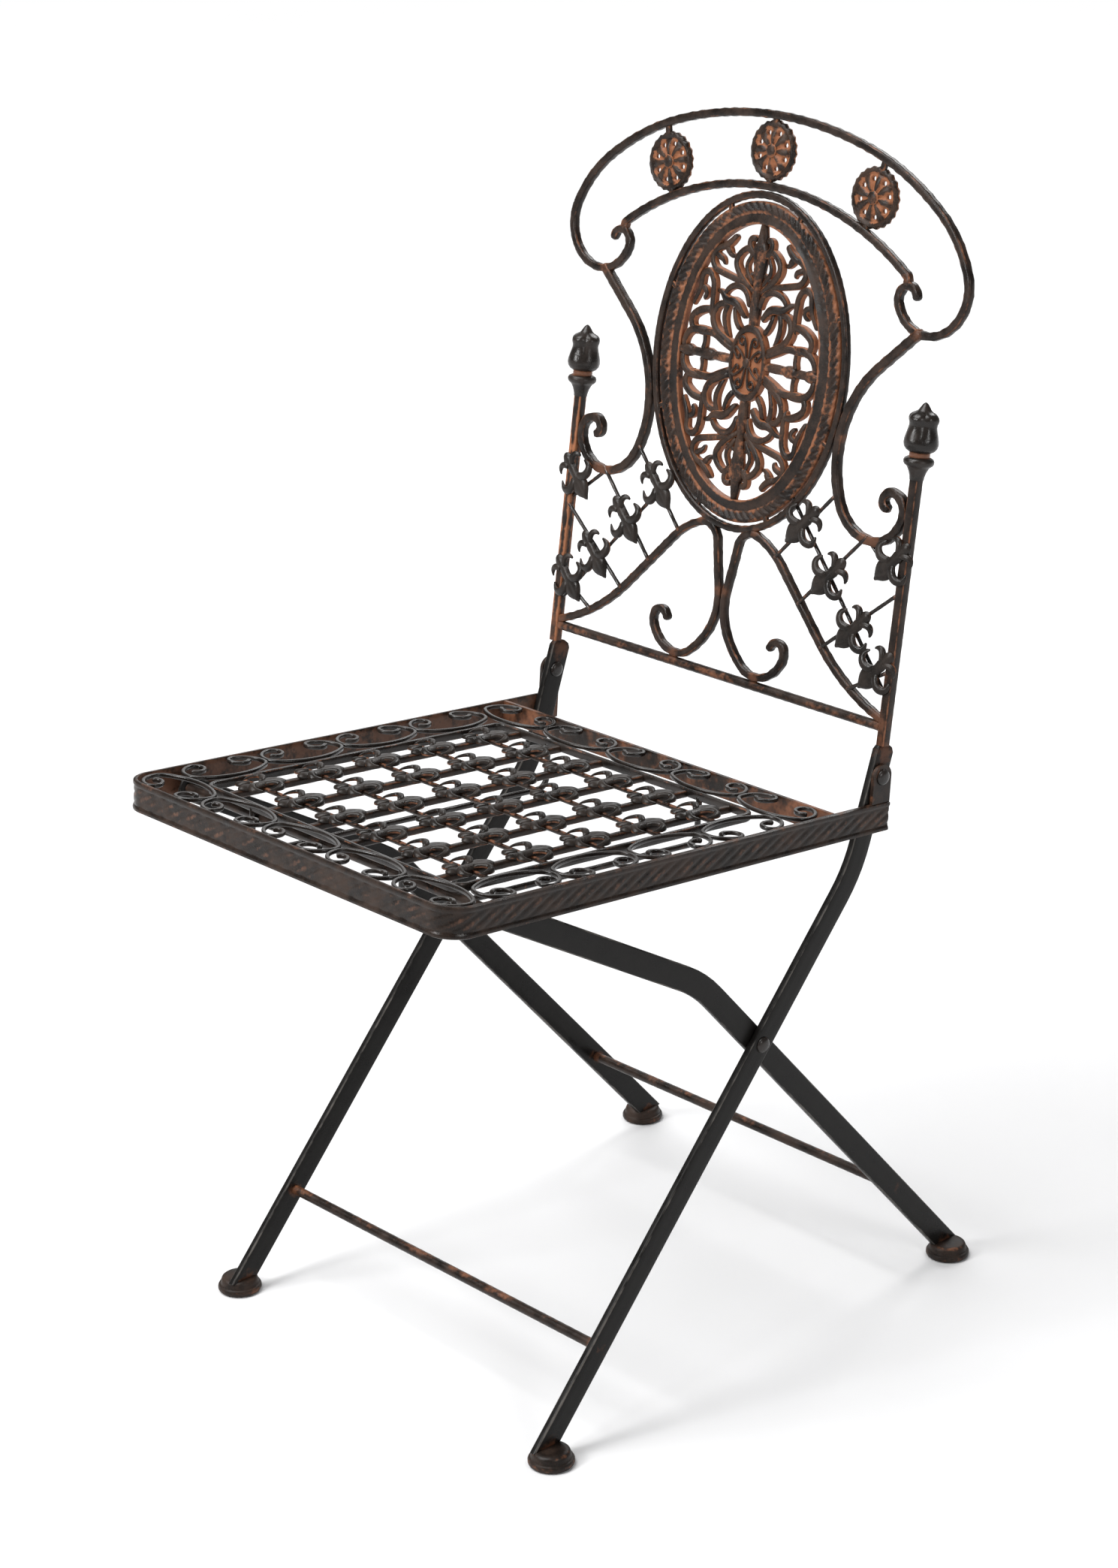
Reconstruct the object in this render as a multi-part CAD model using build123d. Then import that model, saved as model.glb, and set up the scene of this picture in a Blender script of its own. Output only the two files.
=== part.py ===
from build123d import *
from math import atan2, cos, degrees, hypot, pi, radians, sin, tan
import os

# Folding wrought-iron garden chair, in millimetres.
# The origin is on the floor, below the middle of the overall box. The sitter faces -Y, +Z is up.

# Overall placing
overall_depth = 563.0          # front of the seat to the back of the rear feet
pivot_height = 455.0           # seat pivot above the floor
crossing_forward = 129.0       # leg crossing, ahead of the seat pivot
crossing_height = 269.0        # leg crossing above the floor
front_foot_setback = 86.0      # front foot centre, behind the front of the seat

# Legs and feet
leg_width = 20.0
leg_thickness = 6.0
leg_gap = 0.5                  # side play between parts that turn past each other
front_leg_lean = 20.0          # lean of the front leg above its bend, degrees
leg_bend_radius = 120.0
front_leg_tail = 24.0          # front leg above the seat pivot
rear_bend_above_crossing = 89.0
rear_leg_tail = 7.0            # rear leg past the slide rod
foot_radius = 18.0
foot_top_radius = 14.0
foot_height = 12.0
foot_rim = 4.0
foot_splay = 6.0               # foot centre outside the leg's centre
stretcher_diameter = 8.0
front_stretcher_height = 74.0
rear_stretcher_height = 85.0

# Rivets
rivet_diameter = 8.0
rivet_head_diameter = 13.0
rivet_head_height = 3.0
rivet_clearance = 0.05         # running fit, on the radius
head_gap = 0.2

# Seat
seat_width = 380.0
seat_depth = 394.0             # front of the apron to the back of the rear rail
seat_slope = 5.3               # front higher than the rear, degrees
apron_height = 24.0
apron_thickness = 3.0
apron_corner_radius = 22.0
pivot_behind_rail = 50.0
pivot_above_seat = 21.0
lug_width = 20.0
rear_rail_height = 18.0
border_width = 40.0            # between the apron and the inner frame
inner_frame_thickness = 4.0
inner_frame_height = 10.0
inner_corner_radius = 12.0
grid_bar_width = 6.0
grid_bar_height = 3.0
grid_top_depth = 3.0           # top of the upper bars below the seat's top
long_bar_count = 6
long_bar_margin = 23.0         # outer bars from the inside of the inner frame
cross_bar_count = 5
cross_bar_margin = 34.0
fleur_thickness = 2.5
border_strip_width = 3.0
border_strip_height = 5.0
front_scroll_count = 5
rear_scroll_count = 5
side_scroll_count = 4
scroll_gap = 0.3               # between scroll strips and what they lean on

# Guides and slide rod under the seat
guide_spread = 86.5            # guide rod, out from the middle
guide_depth = 43.0             # guide rod axis below the seat's top
guide_size = 5.0
guide_bend_radius = 9.0
slide_rod_diameter = 8.0
slide_clearance = 0.4

# Back
back_lean = 9.2                # degrees from upright
back_above_pivot = 36.0        # lowest line of the back above the seat pivot
back_behind_pivot = 6.0        # and behind it
post_size = 8.0
post_bottom = 12.0             # post below the back's lowest line
post_top = 203.0
post_outset = 2.0              # post outside the middle of the leg it stands on
bottom_rail_diameter = 8.0
bottom_rail_rise = 2.0
scroll_bar = 6.0               # square bar of the scrolls and the crest
lattice_bar = 3.0
back_fleur_tilt = 43.0         # degrees from upright
oval_centre = 254.0
oval_half_width = 105.0
oval_half_height = 135.0
oval_frame_gap = 2.0
oval_frame_side = 22.0         # width of the cast band at the sides
oval_frame_end = 18.0          # and at the top and bottom
oval_frame_thickness = 7.0
oval_lug_count = 8
oval_lug_width = 4.0
filigree_thickness = 4.0
filigree_strip = 4.5
boss_half_width = 20.0
boss_half_height = 31.0
boss_thickness = 7.0
boss_rim = 4.0
boss_recess = 1.5
crest_top = 448.0              # crest rail axis at the middle
crest_half_width = 212.5       # crest rail axis at its widest
crest_bottom = 304.0           # crest rail axis at the foot of its curl
arch_gap = 7.0                 # room above and below the medallions, between crest and arch
medallion_radius = 24.0
medallion_thickness = 4.0
medallion_hole_count = 8
medallion_hole_radius = 2.4
medallion_hole_circle = 14.5
medallion_boss_radius = 6.0
medallion_boss_rise = 1.5
medallion_lobe_count = 14
medallion_lobe_depth = 2.4
stud_width = 5.0
stud_length = 8.0
side_medallion_tilt = 13.0     # degrees
s_scroll_bottom = 141.0        # S-scroll axis at its lowest

# Chords that stand for curves, kept coarse on the small repeated ornaments
bar_chord = 14.0               # degrees
strip_chord = 60.0
oval_chord_count = 40
boss_chord_count = 24
turned_facet_count = 12

# Places worked out from the sizes above
front_y = -overall_depth / 2
rear_foot_y = overall_depth / 2 - foot_radius
front_foot_y = front_y + front_foot_setback
slope = radians(seat_slope)
pivot_y = (front_y + (seat_depth + pivot_behind_rail) * cos(slope)
           + (pivot_above_seat + apron_height) * sin(slope))
crossing_y = pivot_y - crossing_forward
apron_x = seat_width / 2 - apron_thickness
front_leg_x = apron_x - leg_gap - leg_thickness
rear_leg_x = front_leg_x - leg_gap - leg_thickness
post_x = front_leg_x + leg_thickness / 2 + post_outset
post_face = post_x - post_size / 2

crest_height = crest_top - crest_bottom
arch_top = crest_top - 2 * medallion_radius - arch_gap
pivot = Vector(0, pivot_y, pivot_height)
crossing = Vector(0, crossing_y, crossing_height)
seat_frame = Location((0, pivot_y, pivot_height), (-seat_slope, 0, 0))
lean = radians(back_lean)
back_plane = Plane(origin=(0, pivot_y + back_behind_pivot, pivot_height + back_above_pivot),
                   x_dir=(1, 0, 0), z_dir=(0, -cos(lean), sin(lean)))
back_frame = back_plane.location

# Seat lengths, along the seat from the pivot, and heights from the pivot
seat_top = -pivot_above_seat
rail_back = -pivot_behind_rail
rail_front = rail_back - apron_thickness
apron_front = rail_back - seat_depth
inner_back = rail_front - border_width
inner_front = apron_front + apron_thickness + border_width
inner_half = apron_x - border_width
grid_middle = (inner_back + inner_front) / 2
guide_front = inner_front + inner_frame_thickness / 2
guide_back = inner_back - inner_frame_thickness / 2
rod_seat_y = guide_front + guide_size / 2 + scroll_gap + slide_rod_diameter / 2
rod_seat_z = seat_top - inner_frame_height - slide_clearance - slide_rod_diameter / 2


def seat_point(along, above):
    """A point of the seat's middle plane, from lengths along and above the seat at the pivot."""
    return Vector(0, pivot_y + along * cos(slope) + above * sin(slope),
                  pivot_height - along * sin(slope) + above * cos(slope))


def ribbon(points, heading, width, chord):
    """Flat strip of constant width along tangent arcs through the points, as chords of the given angle."""
    path = [(Vector(*points[0]), heading)]
    for end in points[1:]:
        start, angle = path[-1]
        away = Vector(*end) - start
        half_turn = degrees(atan2(away.Y, away.X)) - angle
        half_turn -= 360 * round(half_turn / 360)
        count = max(1, round(abs(2 * half_turn) / chord))
        for step in range(1, count + 1):
            turned = half_turn * step / count
            straight = abs(half_turn) < 0.01
            reach = step / count if straight else sin(radians(turned)) / sin(radians(half_turn))
            path.append((start + (away * reach).rotate(Axis.Z, turned - half_turn), angle + 2 * turned))
    edges = []
    for side in (width / 2, -width / 2):
        edges.append([at + Vector(0, side).rotate(Axis.Z, angle) for at, angle in path])
    return make_face(Polyline(*edges[0], *reversed(edges[1]), close=True))


def bar(points, heading, width, thickness):
    """Bar of the given width and thickness along tangent arcs in the XY plane, centred on it."""
    return extrude(ribbon(points, heading, width, bar_chord), thickness / 2, both=True)


def oval_face(half_width, half_height, chords):
    """Oval outline of even chords."""
    steps = [2 * pi * index / chords for index in range(chords)]
    corners = [(half_width * cos(step), half_height * sin(step)) for step in steps]
    return make_face(Polyline(*corners, close=True))


def turned(profile):
    """Turned solid about Z with flat facets, from radius and height pairs that start and end on the axis."""
    faces = []
    for (low_r, low_z), (high_r, high_z) in zip(profile, profile[1:]):
        for index in range(turned_facet_count):
            ends = [2 * pi * (index + step) / turned_facet_count for step in (0, 1)]
            low = [Vector(low_r * cos(angle), low_r * sin(angle), low_z) for angle in ends]
            high = [Vector(high_r * cos(angle), high_r * sin(angle), high_z) for angle in ends]
            corners = (low[:1] if low_r == 0 else low) + (high[:1] if high_r == 0 else high[::-1])
            faces.append(make_face(Polyline(*corners, close=True)).face())
    return Solid(Shell(faces))


def pair(shape):
    """A right-hand piece and its left-hand mirror image."""
    return Compound([*shape.solids(), *mirrored(shape).solids()])


def mirrored(shape):
    """The same shape on the other side of the chair."""
    return mirror(shape, about=Plane.YZ)


def side_plate(face, inner_x, thickness):
    """Plate from an outline in the YZ plane, on the right-hand side of the chair."""
    return Location((inner_x, 0, 0)) * extrude(face, thickness, dir=(1, 0, 0))


def disc_hole(point, diameter, inner_x, thickness):
    """Cutter for a cross hole through a plate on the right-hand side."""
    return (Location((inner_x + thickness / 2, point.Y, point.Z), (0, 90, 0))
            * Cylinder(diameter / 2, thickness * 3))


def leg_outline(start, bend, end):
    """Outline of a flat leg bar of three points, with an arc at the bend and rounded ends."""
    before = (bend - start).normalized()
    after = (end - bend).normalized()
    turn = radians(before.get_angle(after))
    reach = leg_bend_radius * tan(turn / 2)
    first = bend - before * reach
    second = bend + after * reach
    half = leg_width / 2
    aside = Vector(0, -before.Z, before.Y) * half
    beyond = Vector(0, -after.Z, after.Y) * half
    edges = [Line(start - aside, start + aside)]
    for way in (1, -1):
        arc = TangentArc(first + aside * way, second + beyond * way, tangent=before)
        edges += [Line(start + aside * way, first + aside * way), arc,
                  Line(second + beyond * way, end + beyond * way)]
    edges.append(ThreePointArc(end + beyond, end + after * half, end - beyond))
    return make_face(edges)


def front_legs():
    """Front legs, from the feet through the crossing and the seat pivot to the back posts."""
    foot_top = Vector(0, front_foot_y, foot_height)
    rise = (crossing - foot_top).normalized()
    up = Vector(0, sin(radians(front_leg_lean)), cos(radians(front_leg_lean)))
    across = pivot - crossing
    reach = (across.Y * up.Z - across.Z * up.Y) / (rise.Y * up.Z - rise.Z * up.Y)
    bend = crossing + rise * reach
    outline = leg_outline(foot_top - rise * leg_width, bend, pivot + up * front_leg_tail)
    leg = side_plate(outline, front_leg_x, leg_thickness)
    leg -= Pos(0, 0, foot_height / 2 - overall_depth / 2) * Box(
        overall_depth * 2, overall_depth * 2, overall_depth + foot_height)
    leg -= back_frame * Pos(0, overall_depth / 2 - post_bottom, 0) * Box(
        overall_depth * 2, overall_depth, overall_depth)
    hole = rivet_diameter + 2 * rivet_clearance
    leg -= disc_hole(pivot, hole, front_leg_x, leg_thickness)
    leg -= disc_hole(crossing, hole, front_leg_x, leg_thickness)
    along = (front_stretcher_height - crossing_height) / rise.Z
    stretcher_at = crossing + rise * along
    return {"right_front_leg": leg, "left_front_leg": mirrored(leg),
            "front_stretcher": cross_rod(stretcher_at, front_leg_x, stretcher_diameter)}


def rear_legs():
    """Rear legs, from the feet through the crossing, bent forward under the seat to the slide rod."""
    foot_top = Vector(0, rear_foot_y, foot_height)
    rise = (crossing - foot_top).normalized()
    bend = crossing + rise * rear_bend_above_crossing
    rod = seat_point(rod_seat_y, rod_seat_z)
    forward = (rod - bend).normalized()
    outline = leg_outline(foot_top - rise * leg_width, bend, rod + forward * (rear_leg_tail - leg_width / 2))
    leg = side_plate(outline, rear_leg_x, leg_thickness)
    leg -= Pos(0, 0, foot_height / 2 - overall_depth / 2) * Box(
        overall_depth * 2, overall_depth * 2, overall_depth + foot_height)
    leg -= disc_hole(crossing, rivet_diameter + 2 * rivet_clearance, rear_leg_x, leg_thickness)
    along = (rear_stretcher_height - crossing_height) / rise.Z
    stretcher_at = crossing + rise * along
    return {"right_rear_leg": leg, "left_rear_leg": mirrored(leg),
            "rear_stretcher": cross_rod(stretcher_at, rear_leg_x, stretcher_diameter)}


def cross_rod(at, half_length, diameter):
    """Round rod from side to side through a point."""
    return Location((0, at.Y, at.Z), (0, 90, 0)) * Cylinder(diameter / 2, 2 * half_length)


def slide_rod():
    """Rod between the tops of the rear legs, in the guides under the seat."""
    return {"slide_rod": cross_rod(seat_point(rod_seat_y, rod_seat_z),
                                   rear_leg_x - scroll_gap, slide_rod_diameter)}


def feet():
    """Four cup feet, each with a flat top that carries the leg."""
    waist = foot_top_radius + 0.3 * (foot_radius - foot_top_radius)
    foot = turned([(0, 0), (foot_radius, 0), (foot_radius, foot_rim),
                   (waist, foot_rim + 0.4 * (foot_height - foot_rim)),
                   (foot_top_radius, foot_height), (0, foot_height)])
    places = {"front": (front_leg_x, front_foot_y), "rear": (rear_leg_x, rear_foot_y)}
    return {f"{end}_feet": pair(Pos(inner_x + leg_thickness / 2 + foot_splay, y, 0) * foot)
            for end, (inner_x, y) in places.items()}


def rivets():
    """Pivot rivets at the leg crossing, and at the lugs that carry the seat."""
    made = {}
    head = rivet_head_diameter / 2
    for name, point, inner_x, outer_x in (
            ("crossing_rivets", crossing, rear_leg_x, front_leg_x + leg_thickness),
            ("lug_rivets", pivot, front_leg_x, seat_width / 2)):
        low = inner_x - head_gap
        high = outer_x + head_gap
        shank = rivet_diameter / 2
        crown = 0.85 * rivet_head_height
        upright = turned([(0, low - rivet_head_height), (0.6 * head, low - crown), (head, low),
                          (shank, low), (shank, high), (head, high), (0.6 * head, high + crown),
                          (0, high + rivet_head_height)])
        made[name] = pair(Location((0, point.Y, point.Z), (0, 90, 0)) * upright)
    return made


def seat_rails():
    """Apron, rear rail, inner frame and lugs, drawn from above in the seat's own frame."""
    rear_end = lug_width / 2
    half = seat_width / 2

    def u_face(x, front, radius):
        """Plan out to a half width and forward to the front, with its two front corners rounded."""
        plate = Pos(0, (rear_end + front) / 2) * Rectangle(2 * x, rear_end - front)
        return fillet(plate.vertices().sort_by(Axis.Y)[:2], radius)

    plan = u_face(half, apron_front, apron_corner_radius)
    plan -= u_face(apron_x, apron_front + apron_thickness, apron_corner_radius - apron_thickness)
    apron = Pos(0, 0, seat_top - apron_height) * extrude(plan, apron_height)
    rail = Pos(0, (rail_back + rail_front) / 2, seat_top - rear_rail_height / 2) * Box(
        2 * apron_x, apron_thickness, rear_rail_height)
    inner = Rectangle(2 * inner_half, inner_back - inner_front)
    hole = Rectangle(2 * (inner_half - inner_frame_thickness),
                     inner_back - inner_front - 2 * inner_frame_thickness)
    ring = fillet(inner.vertices(), inner_corner_radius)
    ring -= fillet(hole.vertices(), inner_corner_radius - inner_frame_thickness)
    frame = Pos(0, grid_middle, seat_top - inner_frame_height) * extrude(ring, inner_frame_height)
    radius = lug_width / 2
    lug_outline = make_face([Line((-radius, seat_top), (radius, seat_top)),
                             Line((radius, seat_top), (radius, 0)),
                             ThreePointArc((radius, 0), (0, radius), (-radius, 0)),
                             Line((-radius, 0), (-radius, seat_top))])
    lug = side_plate(Plane.YZ * lug_outline, apron_x, apron_thickness)
    lug -= disc_hole(Vector(0, 0, 0), rivet_diameter + 2 * rivet_clearance, apron_x, apron_thickness)
    made = {"seat_apron": apron, "seat_rear_rail": rail, "seat_inner_frame": frame, "seat_lugs": pair(lug)}
    return {name: seat_frame * shape for name, shape in made.items()}


def spread(count, pitch):
    """Evenly spaced places about zero."""
    return [(index - (count - 1) / 2) * pitch for index in range(count)]


def fleur_face():
    """Double fleur-de-lis: a pointed leaf at one end, a bud at the other, and two pairs of hooked petals."""
    leaf = [(0, -23), (7.5, -14), (7, -4)]
    low_petal = [(16, -7), (20, 0), (16, 7), (5, 1.5)]
    high_petal = [(4.5, 10), (15, 11), (10.5, 18.5)]
    bud = [(4, 22)]
    half = leaf + low_petal + high_petal + bud
    other = [(-x, y) for x, y in reversed(half) if x > 0]
    return make_face(Polyline(*half, *other, close=True))


def seat_grid():
    """Bars from front to back over bars from side to side, and a fleur casting on each crossing."""
    length = inner_back - inner_front - 2 * inner_frame_thickness
    width = 2 * (inner_half - inner_frame_thickness)
    upper = seat_top - grid_top_depth - grid_bar_height / 2
    columns = spread(long_bar_count, (width - 2 * long_bar_margin) / (long_bar_count - 1))
    pitch = (length - 2 * cross_bar_margin) / (cross_bar_count - 1)
    rows = [grid_middle + place for place in spread(cross_bar_count, pitch)]
    long_bar = Box(grid_bar_width, length, grid_bar_height)
    long_bars = [Pos(x, grid_middle, upper) * long_bar for x in columns]
    cross_bar = Box(width, grid_bar_width, grid_bar_height)
    cross_bars = [Pos(0, y, upper - grid_bar_height) * cross_bar for y in rows]
    fleur = extrude(fleur_face(), fleur_thickness)
    made = {"seat_long_bars": Compound(long_bars), "seat_cross_bars": Compound(cross_bars)}
    for number, y in enumerate(rows, start=1):
        row = [Pos(x, y, seat_top - grid_top_depth) * fleur for x in columns]
        made[f"seat_fleurs_row_{number}"] = Compound(row)
    return {name: seat_frame * shape for name, shape in made.items()}


def c_scroll(length):
    """Oval C-scroll of strip that lies along X: its back up at +Y and both ends hooked in at -Y."""
    high = border_width / 2 - scroll_gap - border_strip_width / 2
    wide = length / 2 - scroll_gap / 2 - border_strip_width / 2
    shares = [(0, 1), (0.5, 0.85), (0.85, 0.53), (1, 0), (0.9, -0.6), (0.6, -1), (0.42, -0.6), (0.54, -0.33)]
    right = [(wide * out, high * up) for out, up in shares]
    strip = ribbon(right, 0, border_strip_width, strip_chord)
    return extrude(strip + mirror(strip, about=Plane.YZ), border_strip_height)


def seat_border():
    """C-scrolls between the apron and the inner frame, their backs on the inner frame."""
    made = {}
    low = seat_top - border_strip_height
    front_middle = (apron_front + apron_thickness + inner_front) / 2
    rear_middle = (rail_front + inner_back) / 2
    side_middle = (apron_x + inner_half) / 2
    across = 2 * (apron_x - border_strip_width)
    for name, count, y, turn in (("front", front_scroll_count, front_middle, 0),
                                 ("rear", rear_scroll_count, rear_middle, 180)):
        length = across / count
        scroll = c_scroll(length)
        made[f"{name}_border_scrolls"] = Compound(
            [Location((x, y, low), (0, 0, turn)) * scroll for x in spread(count, length)])
    along = inner_back - inner_front
    length = along / side_scroll_count
    scroll = c_scroll(length)
    places = [grid_middle + place for place in spread(side_scroll_count, length)]
    right = Compound([Location((side_middle, y, low), (0, 0, 90)) * scroll for y in places])
    made["right_border_scrolls"] = right
    made["left_border_scrolls"] = mirrored(right)
    return {name: seat_frame * shape for name, shape in made.items()}


def guides():
    """Guide rods under the seat, bent up at both ends to the inner frame."""
    top = seat_top - inner_frame_height
    low = seat_top - guide_depth
    reach = guide_bend_radius
    path = [(guide_front, top), (guide_front, low + reach), (guide_front + reach, low),
            (guide_back - reach, low), (guide_back, low + reach), (guide_back, top)]
    strip = ribbon(path, -90, guide_size, bar_chord)
    rod = Pos(guide_spread - guide_size / 2, 0, 0) * extrude(Plane.YZ * strip, guide_size)
    return {"right_guide_rod": seat_frame * rod, "left_guide_rod": seat_frame * mirrored(rod)}


def posts():
    """Square back posts with their finials, and the bottom rail between them."""
    post = Pos(post_x, (post_top - post_bottom) / 2, 0) * Box(post_size, post_top + post_bottom, post_size)
    rail = Location((0, bottom_rail_rise, 0), (0, 90, 0)) * Cylinder(bottom_rail_diameter / 2, 2 * post_face)
    steps = [(0, 0), (5.5, 0), (10.5, 6), (10.5, 9), (7.5, 13), (12.5, 22), (13, 30), (10, 39), (12, 43),
             (4.5, 46), (0, 52)]
    finial = Location((post_x, post_top, 0), (-90, 0, 0)) * turned(steps)
    return {"right_post": post, "left_post": mirrored(post), "back_bottom_rail": rail,
            "post_finials": pair(finial)}


def crest_point(out, up):
    """A place on the back, from shares of the crest's half width and of its height above its curls."""
    return (crest_half_width * out, crest_bottom + crest_height * up)


def crest():
    """Crest rail with curled ends, and the arch under it that ends on the curls."""
    shares = [(0, 1), (0.466, 0.906), (0.839, 0.632), (0.99, 0.347), (1, 0.2), (0.823, 0), (0.692, 0.132),
              (0.709, 0.229), (0.758, 0.226), (0.772, 0.188)]
    right = bar([crest_point(*share) for share in shares], 0, scroll_bar, scroll_bar)
    rail = right + mirrored(right)
    ends = [(0, arch_top), (0.373 * crest_half_width, arch_top - 0.083 * crest_height),
            crest_point(0.711, 0.292), crest_point(0.72, 0.25)]
    right_arch = bar(ends, 0, scroll_bar, scroll_bar)
    arch = right_arch + mirrored(right_arch) - rail
    arch = arch.solids().sort_by(SortBy.VOLUME)[-1]
    return {"crest_rail": rail, "crest_inner_arch": arch}


def medallion(x, y, tilt, rail, arch):
    """Pierced round medallion with a lobed rim, held by a stud above and below."""
    rim = []
    for index in range(2 * medallion_lobe_count):
        angle = pi * index / medallion_lobe_count
        reach = medallion_radius - medallion_lobe_depth * (index % 2)
        rim.append((reach * cos(angle), reach * sin(angle)))
    outline = make_face(Polyline(*rim, close=True))
    for index in range(medallion_hole_count):
        angle = 2 * pi * (index + 0.5) / medallion_hole_count
        hole = RegularPolygon(medallion_hole_radius, 6)
        outline -= Pos(medallion_hole_circle * cos(angle), medallion_hole_circle * sin(angle)) * hole
    plate = extrude(outline, medallion_thickness / 2, both=True)
    boss_height = medallion_thickness / 2 + medallion_boss_rise
    plate += extrude(RegularPolygon(medallion_boss_radius, 12), boss_height, both=True)
    reach = 2 * (medallion_radius + stud_length)
    studs = Box(stud_width, reach, medallion_thickness) - Box(stud_width, 2 * medallion_hole_circle, reach)
    whole = Location((x, y, 0), (0, 0, tilt)) * (plate + studs)
    whole = whole - rail - arch
    return whole.solids().sort_by(SortBy.VOLUME)[-1]


def scrolls(ring, rail, post_parts):
    """S-scrolls beside the oval and lyre scrolls under it."""
    near = oval_half_width - 1
    low = s_scroll_bottom
    s_points = [crest_point(0.804, 0.007), (0.639 * crest_half_width, crest_bottom - 31),
                (near, oval_centre - 0.4 * oval_half_height), (near + 9, low + 22), (near + 43, low),
                (post_face - 4, low + 22), (post_face - 4, low + 31), (post_face - 17, low + 41),
                (post_face - 25, low + 34), (post_face - 21, low + 28)]
    first = degrees(atan2(s_points[1][1] - s_points[0][1], s_points[1][0] - s_points[0][0]))
    s_scroll = bar(s_points, first, scroll_bar, scroll_bar) - rail - ring - post_parts["right_post"]
    s_scroll = s_scroll.solids().sort_by(SortBy.VOLUME)[-1]
    middle = scroll_bar / 2 + scroll_gap
    base = bottom_rail_rise + bottom_rail_diameter / 2
    rise = oval_centre - oval_half_height + 2 - base
    lyre_points = [(post_face + 2, base + 1), (0.595 * post_face, base + 0.41 * rise),
                   (60, base + 0.843 * rise), (31, base + rise), (11.5, base + 0.896 * rise),
                   (middle + 1.3, base + 0.574 * rise), (12, base + 0.235 * rise), (30, base + 8),
                   (45, base + middle), (72, base + 21), (72, base + 32), (62, base + 35), (58, base + 30)]
    run = degrees(atan2(lyre_points[2][1] - lyre_points[1][1], lyre_points[2][0] - lyre_points[1][0]))
    chord = degrees(atan2(lyre_points[1][1] - lyre_points[0][1], lyre_points[1][0] - lyre_points[0][0]))
    lyre = bar(lyre_points, 2 * chord - run, scroll_bar, scroll_bar)
    lyre = lyre - ring - post_parts["right_post"] - post_parts["back_bottom_rail"]
    lyre = lyre.solids().sort_by(SortBy.VOLUME)[-1]
    return {"right_s_scroll": s_scroll, "left_s_scroll": mirrored(s_scroll),
            "right_lyre_scroll": lyre, "left_lyre_scroll": mirrored(lyre)}


def oval():
    """Oval ring, the cast frame inside it with its lugs, the openwork filigree and the middle boss."""
    centre = Pos(0, oval_centre)
    ring = oval_face(oval_half_width, oval_half_height, oval_chord_count) - oval_face(
        oval_half_width - scroll_bar, oval_half_height - scroll_bar, oval_chord_count)
    ring = extrude(centre * ring, scroll_bar / 2, both=True)
    out_x = oval_half_width - scroll_bar - oval_frame_gap
    out_y = oval_half_height - scroll_bar - oval_frame_gap
    in_x = out_x - oval_frame_side
    in_y = out_y - oval_frame_end
    flat = oval_face(out_x, out_y, oval_chord_count)
    for index in range(oval_lug_count):
        angle = 2 * pi * (index + 0.5) / oval_lug_count
        flat += Location((out_x * cos(angle), out_y * sin(angle), 0), (0, 0, degrees(angle))) * Rectangle(
            4 * oval_frame_gap, oval_lug_width)
    flat -= oval_face(in_x, in_y, oval_chord_count)
    band = centre * extrude(flat, oval_frame_thickness / 2, both=True) - ring
    band = band.solids().sort_by(SortBy.VOLUME)[-1]
    boss_face = oval_face(boss_half_width, boss_half_height, boss_chord_count)
    sunk_face = oval_face(boss_half_width - boss_rim, boss_half_height - boss_rim, boss_chord_count)
    boss = extrude(boss_face, boss_thickness / 2, both=True)
    boss -= Pos(0, 0, boss_thickness / 2 - boss_recess) * extrude(sunk_face, boss_recess)
    boss = centre * boss
    openwork = filigree(in_x, in_y)
    openwork = centre * extrude(openwork, filigree_thickness / 2, both=True) - band - boss
    return {"oval_outer_ring": ring, "oval_cast_frame": band, "oval_filigree": openwork, "oval_boss": boss}


def filigree(half_x, half_y):
    """Openwork of four mirrored quarters: spears, palmettes, canes, arches and side bars."""
    strip = filigree_strip
    spear = [(0, boss_half_height - 3), (3.2, boss_half_height - 3), (3.5, half_y * 0.55),
             (5.5, half_y * 0.78), (2.2, half_y * 0.9), (2, half_y + 3)]
    baluster = [(boss_half_width - 3, 4), (half_x * 0.52, 5.5), (half_x * 0.62, 3.2), (half_x * 0.78, 3.2),
                (half_x * 0.84, 6), (half_x * 0.94, 6), (half_x + 3, 3.2)]
    spear_face = make_face(Polyline(*spear, *[(-x, y) for x, y in reversed(spear) if x > 0], close=True))
    bar_face = make_face(Polyline(*baluster, *[(x, -y) for x, y in reversed(baluster)], close=True))
    quarter = ribbon([(4, 38), (17, 62), (21, 78), (13, 92), (3, 94)], 75, strip, strip_chord)
    quarter += ribbon([(3, 62), (10, 71), (3, 80)], 35, strip * 0.75, strip_chord)
    quarter += ribbon([(19, 66), (38, 67), (50, 80), (42, 91), (32, 90)], -15, strip, strip_chord)
    quarter += ribbon([(15, 22), (40, 26), (47, 45), (56, 64), (65, 50), (61, 41)], -5, strip, strip_chord)
    quarter += ribbon([(3, 34), (20, 57), (35, 44), (33, 25)], 80, strip, strip_chord)
    quarter += ribbon([(16, 10), (44, 18), (62, 13), (67, 4)], 25, strip, strip_chord)
    quarter += ribbon([(16, 16), (46, 31), (64, 24), (65, 13)], 35, strip, strip_chord)
    half = quarter + mirror(quarter, about=Plane.YZ)
    return half + mirror(half, about=Plane.XZ) + spear_face + mirror(
        spear_face, about=Plane.XZ) + bar_face + mirror(bar_face, about=Plane.YZ)


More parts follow.
